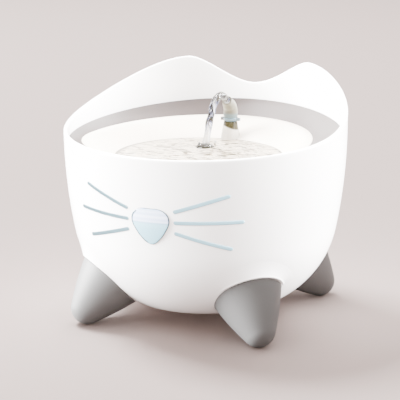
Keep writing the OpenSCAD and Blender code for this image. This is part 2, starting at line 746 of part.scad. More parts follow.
spool_x = core_x - core_leg;
spool_t = 0.8;
module spool_block(x, o) translate([-x, core_y - o, core_z - o]) cube([2 * x, core_t + 2 * o, core_leg + 2 * o]);
module coil_bobbin() color("ivory") difference() {
    union() {
        spool_block(spool_x, spool_t);
        for (s = [-1, 1]) translate([s * (spool_x - spool_t / 2), 0, 0])
            spool_block(spool_t / 2, spool_t + coil_t);
    }
    spool_block(core_x + cut, 0);
}
module coil_winding() color("peru") difference() {
    spool_block(spool_x - spool_t, spool_t + coil_t - spool_t / 4);
    spool_block(spool_x, spool_t);
}

pot_cover = 4;                 // potting over the core's rear face
gland_in = 4;                  // length of gland inside the potting
gland_out = 7;                 // length of gland outside
gland_flare = 1;               // how much the gland's tapered end swells
gland_inset = gland_r + 2;     // distance of the gland's axis from the housing's inner faces
gland_x = pump_x - pump_t - gland_inset;
gland_z = pump_z + pump_h - pump_t - gland_inset;
module at_gland(y) translate([gland_x, y, gland_z]) rotate([-90, 0, 0]) children();

module motor_potting() color("black") difference() {
    run_back(motor_y + end_t, core_y + core_t + pot_cover - motor_y - end_t) pump_outline(pump_t);
    on_axis(well_y - end_t, motor_len, well_r + well_t);
    run_back(core_y, core_t) core_outline();
    spool_block(spool_x, spool_t + coil_t);
    at_gland(motor_y - cut) cylinder(h = gland_in + cut, r = gland_r);
}

module cable_gland() color("dimgray") difference() {
    at_gland(motor_y - gland_out) {
        cylinder(h = gland_out + gland_in - slip, r = gland_r - slip);
        cylinder(h = gland_out / 2, r1 = gland_r - gland_flare, r2 = gland_r + gland_flare);
    }
    at_gland(motor_y - gland_out - cut) cylinder(h = gland_out + gland_in + 2 * cut, r = cable_r);
}

module impeller_chamber() color("dimgray") difference() {
    union() {
        run_back(chamber_y, chamber_len) pump_outline(0);
        translate([0, stem_y, pump_z + pump_h - pump_t]) cylinder(h = outlet_len + pump_t, r = outlet_wall_r);
    }
    on_axis(chamber_y + pump_t, chamber_len, chamber_r);
    on_axis(chamber_y - cut, chamber_len, well_r + 0.6 * well_t);
    translate([0, stem_y, rotor_z]) cylinder(h = pump_h, r = outlet_r);
    on_axis(chamber_y - cut, seal_t / 2 + cut, seal_out_r);
}

seal_out_r = well_r + well_t + 3; // outer radius of the flat seal behind the chamber
module chamber_seal() color("black") difference() {
    on_axis(chamber_y, seal_t / 2, seal_out_r - slip);
    on_axis(chamber_y - cut, seal_t + cut, well_r + well_t);
}

boss_in = 1;                   // how far the cover's bush seat reaches into the chamber
slot_w = 2;                    // width of an intake slot
slot_in_r = 6;                 // distance of the slots from the rotor's axis
slot_rim = 1.5;                // chamber wall left outside the slots
dial_grip_w = 4;               // width of the dial's finger grip, which ends level with the pump's top
rear_bush_y = cover_y - boss_in;
dial_y = cover_y + cover_t + seat_gap;
dial_pin_r = bush_r + boss_in;
module intake_cover() color("dimgray") difference() {
    union() {
        run_back(cover_y, cover_t) pump_outline(0);
        on_axis(rear_bush_y, boss_in + end_t, bush_r + slot_rim);
        on_axis(cover_y + cover_t - end_t, dial_y + dial_t - cover_y - cover_t + end_t, dial_pin_r);
    }
    on_axis(rear_bush_y - cut, bush_len + cut, bush_r);
    for (i = [0:slots - 1]) translate([0, cover_y - cut, rotor_z]) rotate([0, (i + 0.5) * 360 / slots, 0])
        translate([slot_in_r, 0, -slot_w / 2])
            cube([chamber_r - slot_rim - slot_in_r, cover_t + 2 * cut, slot_w]);
}

module flow_dial() color("slategray") difference() {
    union() {
        on_axis(dial_y, dial_t, dial_r);
        translate([-dial_grip_w / 2, dial_y, rotor_z]) cube([dial_grip_w, dial_t, pump_z + pump_h - rotor_z]);
    }
    on_axis(dial_y - cut, dial_t + 2 * cut, dial_pin_r + run_fit);
    for (i = [0:slots - 1]) translate([0, dial_y - cut, rotor_z]) rotate([0, (i + 0.5) * 360 / slots, 0])
        translate([slot_in_r + end_t, 0, -0.6 * slot_w])
            cube([dial_r - slot_rim - slot_in_r - 2 * end_t, dial_t + 2 * cut, 1.2 * slot_w]);
}

rotor_y = well_y + bush_len + 2 * end_t;
hub_y = chamber_y + pump_t + 0.8;
module rotor_shaft() color("white")
    on_axis(well_y + end_t, rear_bush_y + bush_len - well_y - end_t, shaft_r);

module shaft_bushes() color("black") difference() {
    union() {
        on_axis(well_y + end_t, bush_len, bush_r - slip);
        on_axis(rear_bush_y, bush_len, bush_r - slip);
    }
    on_axis(well_y - cut, big / 2, shaft_r + slip / 2);
}

hub_r = 2.4;                   // radius of the rotor's hub
disc_t = 1.2;                  // thickness of the impeller's back plate
module rotor_magnet() color("darkslategray") difference() {
    on_axis(rotor_y + end_t, magnet_len, magnet_r);
    on_axis(rotor_y - cut, magnet_len + 3 * cut, hub_r + slip);
}

module impeller() color("white") difference() {
    union() {
        on_axis(rotor_y, hub_y + blade_h + disc_t - rotor_y, hub_r);
        on_axis(hub_y, disc_t, impeller_r);
        for (i = [0:blades - 1]) translate([0, hub_y + disc_t / 2, rotor_z]) rotate([0, i * 360 / blades, 0])
            translate([hub_r / 2, 0, -blade_t / 2]) cube([impeller_r - hub_r / 2 - 0.3, blade_h, blade_t]);
    }
    on_axis(rotor_y - cut, hub_y + blade_h + disc_t + 2 * cut - rotor_y, shaft_r + run_fit);
}

cup_r = 6;                     // radius of a suction cup
cup_neck_r = 2.4;              // radius of its neck
cup_lip = 0.3;                 // thickness of its lip
cup_x = pump_x - cup_r - cup_lip - 0.7;
module suction_cups() color("gray")
    for (x = [-cup_x, cup_x], y = [motor_y + cup_r + 2, chamber_y + cup_r - 2])
        translate([x, y, pump_z - cup_h]) rotate_extrude() polygon([
            [0, 0.2 * cup_h],
            [cup_r - 2 * cup_lip, 0],
            [cup_r, cup_lip],
            [1.25 * cup_neck_r, 0.55 * cup_h],
            [cup_neck_r, cup_h],
            [0, cup_h]
        ]);

// ---- filter ----

fwell_top = floor_z - dish_t;
cart_r = fwell_r - fwell_t - filter_gap;
cart_top = fwell_top - filter_gap;
cart_z = cart_top - filter_h;
lid_t = 1.2;                   // thickness of the cartridge's lid
mesh_t = 0.8;                  // thickness of the wire mesh
ways = 12;                     // number of water slots in the lid and the floor
way_w = 2.4;                   // width of a water slot
pack_r = cart_r - filter_t;
pack_h = filter_h - lid_t - filter_t - mesh_t;
carbon_h = carbon_share * pack_h;

module at_filter(z) translate([0, filter_y, z]) children();

module filter_well() color("whitesmoke") at_filter(fwell_top - fwell_h) difference() {
    cylinder(h = fwell_h, r = fwell_r);
    translate([0, 0, -cut]) cylinder(h = fwell_h + 2 * cut, r = fwell_r - fwell_t);
}

module filter_frame() color("white") difference() {
    union() {
        at_filter(cart_z) cylinder(h = filter_h - lid_t, r = cart_r);
        at_filter(cart_z - knob_len) cylinder(h = knob_len + 1, r = knob_r);
    }
    at_filter(cart_z + filter_t) cylinder(h = filter_h, r = pack_r);
    at_filter(cart_z - cut) for (i = [0:ways - 1]) rotate([0, 0, i * 360 / ways])
        translate([knob_r + 2, -way_w / 2, 0]) cube([pack_r - knob_r - 4, way_w, filter_t + 2 * cut]);
}

module filter_lid() color("white") at_filter(cart_top - lid_t) difference() {
    cylinder(h = lid_t, r = cart_r);
    for (i = [0:ways - 1]) rotate([0, 0, i * 360 / ways])
        translate([knob_r, -way_w / 2, -cut]) cube([pack_r - knob_r - 2, way_w, lid_t + 2 * cut]);
}
module filter_mesh() color("silver") at_filter(cart_z + filter_t) cylinder(h = mesh_t, r = pack_r - slip);
module filter_carbon() color("black")
    at_filter(cart_z + filter_t + mesh_t) cylinder(h = carbon_h, r = pack_r - slip);
module filter_foam() color("lightgray")
    at_filter(cart_z + filter_t + mesh_t + carbon_h) cylinder(h = pack_h - carbon_h, r = pack_r - slip);

shell();
foot_front_left();
foot_front_right();
foot_rear_left();
foot_rear_right();
nose_window();
nose_gasket();
whisker_windows();
cable_grommet();
suction_cups();
motor_housing();
motor_potting();
stator_core();
coil_bobbin();
coil_winding();
cable_gland();
impeller_chamber();
chamber_seal();
intake_cover();
flow_dial();
rotor_shaft();
shaft_bushes();
rotor_magnet();
impeller();
riser_tube();
riser_seal();
tray_ring();
tray_dish();
stem();
spout_collar();
spout_bell();
filter_well();
filter_frame();
filter_lid();
filter_foam();
filter_carbon();
filter_mesh();
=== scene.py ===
"""A pet water fountain: a white bowl on four grey feet, with a lift-out tray, a spout and running water.

Lengths are in metres. The floor is z = 0, the bowl's axis is the z axis and the nose window faces -Y.
"""
import math
import random
from math import cos, sin

import bpy
from mathutils import Matrix, Vector, noise


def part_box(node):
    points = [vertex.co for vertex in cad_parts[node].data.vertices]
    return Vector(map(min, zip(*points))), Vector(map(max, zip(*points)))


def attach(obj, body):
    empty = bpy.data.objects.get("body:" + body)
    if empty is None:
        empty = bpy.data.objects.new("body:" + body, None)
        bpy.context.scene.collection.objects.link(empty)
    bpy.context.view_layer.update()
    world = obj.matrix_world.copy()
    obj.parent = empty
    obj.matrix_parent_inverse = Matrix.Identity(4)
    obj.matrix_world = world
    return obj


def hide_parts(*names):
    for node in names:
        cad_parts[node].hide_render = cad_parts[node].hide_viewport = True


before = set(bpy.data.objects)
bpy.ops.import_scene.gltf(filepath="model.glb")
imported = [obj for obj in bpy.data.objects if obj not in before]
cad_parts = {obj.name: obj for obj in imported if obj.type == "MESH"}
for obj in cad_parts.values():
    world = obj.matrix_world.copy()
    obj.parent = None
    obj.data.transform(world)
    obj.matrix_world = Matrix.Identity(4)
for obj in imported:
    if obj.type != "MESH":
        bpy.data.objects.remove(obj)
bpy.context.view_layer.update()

# ---- Camera ----
# A long lens 38 cm above the floor, 22 degrees to the right of the nose window. Its place and length
# come from the fit of the bowl's outline and feet in the photograph.
MM = 0.001
CAMERA_AT = Vector((427.2, -1069.0, 383.0)) * MM
CAMERA_AIM = Vector((-0.3638, 0.8997, -0.2413))
LENS_PX = 1377.5
FRAME_PX = 400.0

camera_data = bpy.data.cameras.new("camera")
camera_data.sensor_width = 36.0
camera_data.lens = LENS_PX / FRAME_PX * camera_data.sensor_width
camera_data.clip_end = 50.0
camera = bpy.data.objects.new("camera", camera_data)
bpy.context.scene.collection.objects.link(camera)
camera.location = CAMERA_AT
camera.rotation_euler = CAMERA_AIM.to_track_quat("-Z", "Y").to_euler()
bpy.context.scene.camera = camera

# ---- Studio ----
# A seamless floor in an evenly bright room, under four softboxes: at the left, behind on the right, in
# front and high at the left. Two flags keep the first three off the floor and off some of the pieces.
FLOOR_HALF = 8.0
FLOOR_GAP = 0.4 * MM
FLOOR_HEX = "998B87"
ROOM_HEX = "F7EFEB"
ROOM_STRENGTH = 2.7


def linear(hex_colour):
    """The linear colour of an sRGB hex value, with full alpha."""
    parts = [int(hex_colour[i:i + 2], 16) / 255 for i in (0, 2, 4)]
    return tuple(c / 12.92 if c <= 0.04045 else ((c + 0.055) / 1.055) ** 2.4 for c in parts) + (1.0,)


def add(tree, kind, values=None, links=None, **settings):
    """Adds a node, sets its properties and input values, and links its inputs from other sockets."""
    node = tree.nodes.new(kind)
    for name, value in settings.items():
        setattr(node, name, value)
    for name, value in (values or {}).items():
        node.inputs[name].default_value = value
    for name, socket in (links or {}).items():
        tree.links.new(socket, node.inputs[name])
    return node


def new_material(name, **values):
    """An empty node material, as (material, tree, shader). The values are set on the shader's sockets."""
    material = bpy.data.materials.new(name)
    material.use_nodes = True
    tree = material.node_tree
    shader = tree.nodes["Principled BSDF"]
    for key, value in values.items():
        shader.inputs[key.replace("_", " ")].default_value = value
    return material, tree, shader


def select(pieces, active):
    """Selects nothing but the pieces, and makes one of them the active one."""
    bpy.ops.object.select_all(action="DESELECT")
    for piece in pieces:
        piece.select_set(True)
    bpy.context.view_layer.objects.active = active


def aim_light(name, place, aim_z, watts, size, flagged=None):
    """Adds a softbox that faces a point on the bowl's axis. A flag keeps its light off what is in flagged."""
    data = bpy.data.lights.new(name, "AREA")
    data.energy = watts
    data.shape = "RECTANGLE"
    data.size, data.size_y = size
    obj = bpy.data.objects.new(name, data)
    bpy.context.scene.collection.objects.link(obj)
    obj.location = place
    obj.rotation_euler = (Vector((0, 0, aim_z)) - Vector(place)).to_track_quat("-Z", "Y").to_euler()
    if flagged:
        obj.light_linking.receiver_collection = flagged


def keep_off(flagged, piece):
    """Puts a piece behind a flag, where the flagged lights don't reach it."""
    flagged.objects.link(piece)
    flagged.collection_objects[-1].light_linking.link_state = "EXCLUDE"


bpy.ops.mesh.primitive_plane_add(size=2 * FLOOR_HALF, location=(0, 0, -FLOOR_GAP))
floor = bpy.context.object
floor.name = "floor"
floor.data.materials.append(new_material("matt_floor_paint", Base_Color=linear(FLOOR_HEX), Roughness=0.9,
                                         Specular_IOR_Level=0.1)[0])

world = bpy.data.worlds.new("studio")
world.use_nodes = True
room = world.node_tree.nodes["Background"]
room.inputs["Color"].default_value = linear(ROOM_HEX)
room.inputs["Strength"].default_value = ROOM_STRENGTH
bpy.context.scene.world = world
side_flag = bpy.data.collections.new("side_flag")
rim_flag = bpy.data.collections.new("rim_flag")
keep_off(side_flag, floor)
keep_off(rim_flag, floor)
aim_light("key", (-2.2, -0.6, 1.1), aim_z=0.1, watts=1900.0, size=(2.0, 2.0), flagged=side_flag)
aim_light("rim", (2.0, 1.3, 1.2), aim_z=0.12, watts=1700.0, size=(1.4, 2.0), flagged=rim_flag)
aim_light("front", (0.9, -1.5, 2.3), aim_z=0.1, watts=225.0, size=(1.6, 1.6), flagged=rim_flag)
aim_light("top", (-2.3, 0.9, 3.9), aim_z=0.0, watts=1040.0, size=(1.5, 1.5))

# ---- Bowl shell ----
# The bowl is one injection moulding of glossy white ABS, 3 mm thick. Its rim rises behind into two
# rounded peaks, and four hips swell out of the belly round the recesses that hold the feet.
BOWL_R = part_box("shell")[1].x
SIDE_CURVE = 450 * MM
SIDE_TURN = math.radians(10.7)
BELLY_CURVE = 85 * MM
BELLY_SINK = 8.8 * MM
UNDERSIDE = 16 * MM
WALL = 3 * MM
LIP = WALL / 2
BOWL_AROUND = 288
BELLY_STEPS = 26
INNER_BELLY_STEPS = 18
SIDE_STEPS = 40
CENTRE_R = 4 * MM
LEDGE_Z = 135 * MM
LEDGE_IN = 4 * MM
LEDGE_CLEAR = 0.2 * MM
NEAR = 0.001 * MM
RIM_LOW = 138 * MM
RIM_FRONT = 157 * MM
RIM_RISE = 6.6 * MM
RIM_POWER = 0.8
PEAK_HEIGHT = 41.8 * MM
PEAK_AT = 30.6
PEAK_IN = 24.0
PEAK_OUT = 44.6
PEAK_POWER = 1.68
VALLEY_SOFT = 9.0

curve_gap = (SIDE_CURVE - BELLY_CURVE) * Vector((cos(SIDE_TURN), -sin(SIDE_TURN)))
belly_centre = Vector((BOWL_R - SIDE_CURVE + curve_gap.x, UNDERSIDE + BELLY_CURVE - BELLY_SINK))
side_centre = belly_centre - curve_gap
side_top = side_centre.y
belly_top = belly_centre.y - BELLY_CURVE * sin(SIDE_TURN)


def rod(name, rings):
    """A closed solid: a circle extruded once for each further ring, with its points moved onto the rings."""
    around = len(rings[0])
    bpy.ops.mesh.primitive_circle_add(vertices=around, radius=1.0, fill_type="NGON")
    piece = bpy.context.object
    piece.name = name
    bpy.ops.object.mode_set(mode="EDIT")
    bpy.ops.mesh.select_all(action="SELECT")
    for _ in rings[1:]:
        bpy.ops.mesh.extrude_region_move(TRANSFORM_OT_translate={"value": (0, 0, 1)})
    bpy.ops.object.mode_set(mode="OBJECT")
    for vertex in piece.data.vertices:
        step = round(math.atan2(vertex.co.y, vertex.co.x) / math.tau * around)
        vertex.co = rings[round(vertex.co.z)][step % around]
    return piece


def hoop(name, sections):
    """A closed hoop: a torus whose points are moved onto the sections, each listed outside, up, inside, down.

    Blender's torus takes at most 256 sections.
    """
    across = len(sections[0])
    bpy.ops.mesh.primitive_torus_add(major_segments=len(sections), minor_segments=across)
    piece = bpy.context.object
    piece.name = name
    for vertex in piece.data.vertices:
        vertex.co = sections[vertex.index // across][vertex.index % across]
    return piece


def turns(count):
    """Angles that share a full turn evenly."""
    return [math.tau * i / count for i in range(count)]


def lathe(name, profile, around):
    """A turned solid from the points (radius, height) of its outline."""
    return rod(name, [[Vector((p[0] * cos(a), p[0] * sin(a), p[1])) for a in turns(around)]
                      for p in profile])


def arc_points(centre, radius, start, stop, count):
    """Points along an arc in a profile's plane, from one angle to another."""
    steps = [start + (stop - start) * i / count for i in range(count + 1)]
    return [Vector((centre[0] + radius * cos(a), centre[1] + radius * sin(a))) for a in steps]


def bowl_side(offset, belly_steps):
    """The bowl's profile from its underside to the top of its side, moved outwards by offset."""
    low = -math.asin((belly_centre.y - UNDERSIDE + offset) / (BELLY_CURVE + offset))
    belly = arc_points(belly_centre, BELLY_CURVE + offset, low, -SIDE_TURN, belly_steps)
    side = arc_points(side_centre, SIDE_CURVE + offset, -SIDE_TURN, 0.0, SIDE_STEPS)
    return belly + side[1:]


def bowl_radius(z, offset=0.0):
    """The bowl's radius at a height."""
    if z >= side_top:
        return BOWL_R + offset
    if z >= belly_top:
        return side_centre.x + math.sqrt((SIDE_CURVE + offset) ** 2 - (side_top - z) ** 2)
    return belly_centre.x + math.sqrt((BELLY_CURVE + offset) ** 2 - (belly_centre.y - z) ** 2)


def rim_height(x, y):
    """The height of the rim above a point, from its angle to the back of the bowl."""
    turn = math.atan2(x, y)
    softened = math.hypot(math.degrees(turn), VALLEY_SOFT)
    spread = PEAK_IN if softened < PEAK_AT else PEAK_OUT
    peak = math.exp(-(abs(softened - PEAK_AT) / spread) ** PEAK_POWER)
    return RIM_FRONT + RIM_RISE * ((1 + cos(turn)) / 2) ** RIM_POWER + PEAK_HEIGHT * peak


def smooth(piece, angle=35.0):
    """Shades a piece smooth, apart from edges sharper than the angle in degrees."""
    select([piece], piece)
    bpy.ops.object.shade_smooth_by_angle(angle=math.radians(angle))


def join(pieces, onto):
    """Joins pieces into one of them."""
    select(pieces, onto)
    bpy.ops.object.join()


outer = bowl_side(0.0, BELLY_STEPS)
lip = arc_points((BOWL_R - LIP, side_top), LIP, 0.0, math.pi, 8)[1:-1]
inner = bowl_side(-WALL, INNER_BELLY_STEPS)[::-1]
ledge_r = bowl_radius(LEDGE_Z, -WALL)
ledge = [Vector((ledge_r, LEDGE_Z)), Vector((ledge_r - LEDGE_IN, LEDGE_Z)),
         Vector((ledge_r - LEDGE_IN, LEDGE_Z - WALL / 3)), Vector((ledge_r, LEDGE_Z - LEDGE_IN))]
above = [p for p in inner if p.y > LEDGE_Z + LEDGE_CLEAR]
below = [p for p in inner if p.y < LEDGE_Z - LEDGE_IN - LEDGE_CLEAR]
shell = lathe("bowl_shell", [(CENTRE_R, UNDERSIDE)] + outer + lip + above + ledge + below
              + [(CENTRE_R, below[-1].y)], BOWL_AROUND)
for vertex in shell.data.vertices:
    place = vertex.co
    if place.z > RIM_LOW:
        top = rim_height(place.x, place.y) - LIP
        if place.z > side_top + NEAR:
            place.z += top - side_top
        else:
            radius = math.hypot(place.x, place.y)
            height = RIM_LOW + (place.z - RIM_LOW) * (top - RIM_LOW) / (side_top - RIM_LOW)
            grow = 1 + (bowl_radius(height) - bowl_radius(place.z)) / radius
            vertex.co = (place.x * grow, place.y * grow, height)

# The four hips: a rounded lip stands round each foot's recess and runs out smoothly onto the bowl.
FOOT_IN = 33.3 * MM
FOOT_DIP = 46.6
FOOT_R = 29.1 * MM
FOOT_LEN = 31.7 * MM
FOOT_TIP = 14 * MM
FOOT_CUT = 0.4 * MM
FOOT_TURNS = {"foot_rear_right": 41.2, "foot_rear_left": 138.8, "foot_front_left": 225.0,
              "foot_front_right": 315.0}
RECESS_R = FOOT_R + 0.15 * MM
HIP_R = FOOT_R + 2.3 * MM
HIP_RUN = 5 * MM
HIP_RUN_TOP = 6 * MM
HIP_EDGE = 0.4 * MM
HIP_STEPS = 10
HIP_SUNK = 0.15 * MM
HIP_AROUND = 144
BOWL_NEAR = 20 * MM
HALVINGS = 18
foot_z = FOOT_LEN * sin(math.radians(FOOT_DIP)) + FOOT_TIP - FOOT_CUT
foot_base = (Matrix.Translation((BOWL_R - FOOT_IN, 0, foot_z))
             @ Matrix.Rotation(math.radians(90 + FOOT_DIP), 4, "Y"))


def bowl_at(u, v):
    """The height over a foot's base at which the bowl's outer face lies, found by halving."""
    low = -BOWL_NEAR
    high = BOWL_NEAR
    for _ in range(HALVINGS):
        middle = (low + high) / 2
        place = foot_base @ Vector((u, v, middle))
        flat = Vector((math.hypot(place.x, place.y), place.z))
        outside = max((flat - belly_centre).length - BELLY_CURVE, UNDERSIDE - place.z)
        low, high = (low, middle) if outside > 0 else (middle, high)
    return middle


def hip_section(turn):
    """The hip's section at an angle about the foot's axis: run-out, rounded lip, recess wall, underside."""
    across = Vector((cos(turn), sin(turn)))
    run = HIP_RUN + HIP_RUN_TOP * (1 - across.x) / 2
    foot_of_lip = bowl_at(*(HIP_R * across))
    points = []
    for step in range(HIP_STEPS, -1, -1):
        share = step / HIP_STEPS
        radius = HIP_R + run * share
        height = bowl_at(*(radius * across)) - (HIP_EDGE + foot_of_lip) * (1 - share) ** 2
        points.append((radius, height - (HIP_SUNK if step == HIP_STEPS else 0)))
    points += [(HIP_R - 0.2 * MM, -0.13 * MM), (HIP_R - 0.5 * MM, 0.0), (RECESS_R + 0.5 * MM, 0.0),
               (RECESS_R + 0.12 * MM, -0.12 * MM), (RECESS_R, -0.5 * MM)]
    for radius in (RECESS_R, HIP_R, HIP_R + 0.6 * run, HIP_R + run):
        points.append((radius, bowl_at(*(radius * across)) - WALL / 2))
    return [Vector((radius * across.x, radius * across.y, height)) for radius, height in points]


def object_place(tree):
    """The Object coordinates, as a socket."""
    return add(tree, "ShaderNodeTexCoord").outputs["Object"]


def speckle(tree, scale, detail, distortion=0.0, stretch=(1.0, 1.0, 1.0)):
    """Noise on Object coordinates that are first scaled by stretch, as a socket."""
    place = add(tree, "ShaderNodeMapping", {"Scale": stretch}, {"Vector": object_place(tree)})
    return add(tree, "ShaderNodeTexNoise", {"Scale": scale, "Detail": detail, "Distortion": distortion},
               {"Vector": place.outputs["Vector"]}).outputs["Fac"]


def relief(tree, shader, height, strength, depth_mm):
    """Bumps a shader's face by a height socket."""
    bump = add(tree, "ShaderNodeBump", {"Strength": strength, "Distance": depth_mm * MM}, {"Height": height})
    tree.links.new(bump.outputs["Normal"], shader.inputs["Normal"])


hip_sections = [hip_section(turn) for turn in turns(HIP_AROUND)]
hips = []
for degrees in FOOT_TURNS.values():
    hip = hoop("hip", hip_sections)
    hip.data.transform(Matrix.Rotation(math.radians(degrees), 4, "Z") @ foot_base)
    hips.append(hip)
join(hips + [shell], shell)

# Gloss ABS: bright white right through, with a trace of the mould's orange peel in its reflections.
ORANGE_PEEL_MM = 3.0
white_abs, tree, shader = new_material("gloss_white_abs", Base_Color=linear("FAF9F8"), Roughness=0.2,
                                       IOR=1.53)
relief(tree, shader, speckle(tree, 1000 / ORANGE_PEEL_MM, 2.0), strength=0.02, depth_mm=0.4)
shell.data.materials.append(white_abs)
smooth(shell)
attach(shell, "root")
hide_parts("shell")

# ---- Feet ----
# Four blunt cones of satin grey TPE, cut flat where they stand. Each one plugs into a recess in the
# bowl's belly and leans outwards.
FOOT_SIDE_CURVE = 265 * MM
FOOT_EDGE = 0.5 * MM
FOOT_AROUND = 128

base_point = Vector((FOOT_R, 0))
tip_point = Vector((0, FOOT_LEN))
slant = (tip_point - base_point).normalized()
slant_length = (tip_point - base_point).length
along = (FOOT_SIDE_CURVE ** 2 - (FOOT_SIDE_CURVE - FOOT_TIP) ** 2 + slant_length ** 2) / (2 * slant_length)
side_point = (base_point + along * slant
              + math.sqrt(FOOT_SIDE_CURVE ** 2 - along ** 2) * Vector((-slant.y, slant.x)))
start = math.atan2(base_point.y - side_point.y, base_point.x - side_point.x)
stop = math.atan2(tip_point.y - side_point.y, tip_point.x - side_point.x)
foot_side = arc_points(side_point, FOOT_SIDE_CURVE, start, stop, 40)
foot_tip = arc_points(tip_point, FOOT_TIP, stop, math.radians(89), 20)
base_edge = arc_points((FOOT_R - FOOT_EDGE, FOOT_EDGE), FOOT_EDGE, -math.pi / 2, 0.0, 4)


def blend(tree, factor, low, high):
    """Mixes a colour or a socket with a second colour by a factor, as a socket."""
    mix = add(tree, "ShaderNodeMix", {"B": linear(high)}, {"Factor": factor}, data_type="RGBA")
    if isinstance(low, str):
        mix.inputs["A"].default_value = linear(low)
    else:
        tree.links.new(low, mix.inputs["A"])
    return mix.outputs["Result"]


def two_tone(name, low, high, pattern, strength, depth_mm, **values):
    """A material in two colours, mixed and bumped by the socket that pattern makes in its tree."""
    material, tree, shader = new_material(name, **values)
    factor = pattern(tree)
    tree.links.new(blend(tree, factor, low, high), shader.inputs["Base Color"])
    if depth_mm:
        relief(tree, shader, factor, strength, depth_mm)
    return material


def plain(name, low, high, scale, depth_mm=0.0, strength=0.4, detail=3.0, **values):
    """A moulded or cast finish: two near colours in a fine grain, with an optional bump."""
    return two_tone(name, low, high, lambda tree: speckle(tree, scale, detail), strength, depth_mm, **values)


# Satin TPE: a soft sheen, and a fine spark-eroded grain that breaks the highlight up a little.
SPARK_GRAIN_MM = 0.6
grey_tpe = plain("satin_grey_tpe", "4F4F4F", "555555", 1000 / SPARK_GRAIN_MM, 0.1, 0.05, 2.0, Roughness=0.5,
                 IOR=1.5, Specular_IOR_Level=0.35)

for name, degrees in FOOT_TURNS.items():
    foot = lathe(name + "_cone", base_edge + foot_side[2:] + foot_tip[1:], FOOT_AROUND)
    foot.data.transform(Matrix.Rotation(math.radians(degrees), 4, "Z") @ foot_base)
    for vertex in foot.data.vertices:
        vertex.co.z = max(vertex.co.z, 0.0)
    foot.data.materials.append(grey_tpe)
    keep_off(rim_flag, foot)
    smooth(foot)
    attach(foot, "root")
    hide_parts(name)

# ---- Nose window ----
# A rounded three-cornered lens of clear pale-blue ABS, domed outwards, through which the water level
# in the bowl is read. It is pressed in from inside against a gasket.
NOSE_Z = 103.6 * MM
NOSE_R = 15.55 * MM
NOSE_LOBE = 0.12
NOSE_POINT = 0.03
NOSE_CUT = 0.07
NOSE_DOME = 85 * MM
NOSE_PROUD = 1.9 * MM
NOSE_DEPTH = 6 * MM
NOSE_AROUND = 96
NOSE_ROWS = 24
# Outside these shares of the outline the lens's edge is painted dark, as painted shade.
SHADE_EDGE_SHARE = 0.965
LOW_SHADE_EDGE_SHARE = 0.89
LOW_SHADE_EDGE_WAY = Vector((0.95, 0.3))
LOW_SHADE_EDGE_FROM = -0.45 * NOSE_R
WATER_LEVEL = 105.6 * MM
BANDS_BELOW = 13 * MM
BANDS_ABOVE = 12 * MM

nose_lean = math.atan2(bowl_radius(NOSE_Z + NOSE_R) - bowl_radius(NOSE_Z - NOSE_R), 2 * NOSE_R)
dome_sink = NOSE_DOME - NOSE_PROUD
dome_y = dome_sink * cos(nose_lean) - bowl_radius(NOSE_Z)
dome_z = NOSE_Z + dome_sink * sin(nose_lean)


def nose_radius(turn):
    """The outline's radius in a direction: three round corners, of which the bottom one is sharper."""
    lobe = 3 * (turn + math.pi / 2)
    tip = ((1 + cos(turn + math.pi / 2)) / 2) ** 4
    return NOSE_R * (1 + NOSE_LOBE * cos(lobe) + tip * (NOSE_POINT * cos(2 * lobe) - NOSE_CUT))


def nose_ring(size, sink):
    """The nose's outline at a share of its size, on the dome and sunk behind it."""
    ring = []
    for turn in turns(NOSE_AROUND):
        radius = size * nose_radius(turn)
        x = radius * cos(turn)
        z = NOSE_Z + radius * sin(turn)
        y = dome_y - math.sqrt(NOSE_DOME ** 2 - x ** 2 - (z - dome_z) ** 2)
        ring.append(Vector((x, y + sink, z)))
    return ring


def height_in(tree):
    """The height in Object coordinates, as a socket."""
    return add(tree, "ShaderNodeSeparateXYZ", links={"Vector": object_place(tree)}).outputs["Z"]


def fade(tree, value, start, stop, top=1.0):
    """A factor that runs from 0 to top while a socket's value runs from start to stop, as a socket."""
    return add(tree, "ShaderNodeMapRange", {"From Min": start, "From Max": stop, "To Max": top},
               {"Value": value}).outputs["Result"]


def ramp(tree, factor, stops):
    """The colours of a ramp with the given stops, each a place and a hex value, as a socket."""
    node = add(tree, "ShaderNodeValToRGB", links={"Fac": factor})
    for place, _ in stops[1:-1]:
        node.color_ramp.elements.new(place)
    for element, (place, hex_colour) in zip(node.color_ramp.elements, stops):
        element.position = place
        element.color = linear(hex_colour)
    return node.outputs["Color"]


nose_rim = [(0.995, NOSE_DEPTH), (0.995, 1.2 * MM), (0.994, 0.6 * MM), (0.985, 0.28 * MM), (0.965, 0.08 * MM)]
nose_face = [(0.94 - 0.935 * i / NOSE_ROWS, 0.0) for i in range(NOSE_ROWS + 1)]
nose = rod("nose_lens", [nose_ring(size, sink) for size, sink in nose_rim + nose_face])

# Clear tinted ABS seen against the water inside: bluer below the level line, where the water shows, and pale
# above it with soft bands, a painted reflection and highlight of the curved water surface. Its moulded edge
# is painted dark as shade.
nose_clear, tree, shader = new_material("clear_blue_abs", Roughness=0.06, IOR=1.53)
level = fade(tree, height_in(tree), WATER_LEVEL - BANDS_BELOW, WATER_LEVEL + BANDS_ABOVE)
level_and_painted_reflection = ramp(tree, level, [(0.0, "8DC0D2"), (0.3, "8CBED1"), (0.47, "94C2D3"), (0.52, "8FB2CC"),
                           (0.56, "CFDAF2"), (0.64, "B9C8E8"), (0.72, "DDE5FA"), (0.8, "B4C5E4"),
                           (0.88, "CDD9F0"), (1.0, "8FAACB")])
tree.links.new(level_and_painted_reflection, shader.inputs["Base Color"])
nose.data.materials.append(nose_clear)
# The second material is painted shade, for the dark edge of the lens.
nose.data.materials.append(new_material("clear_blue_abs_painted_shade", Base_Color=linear("2A4150"), Roughness=0.15,
                                        IOR=1.53)[0])
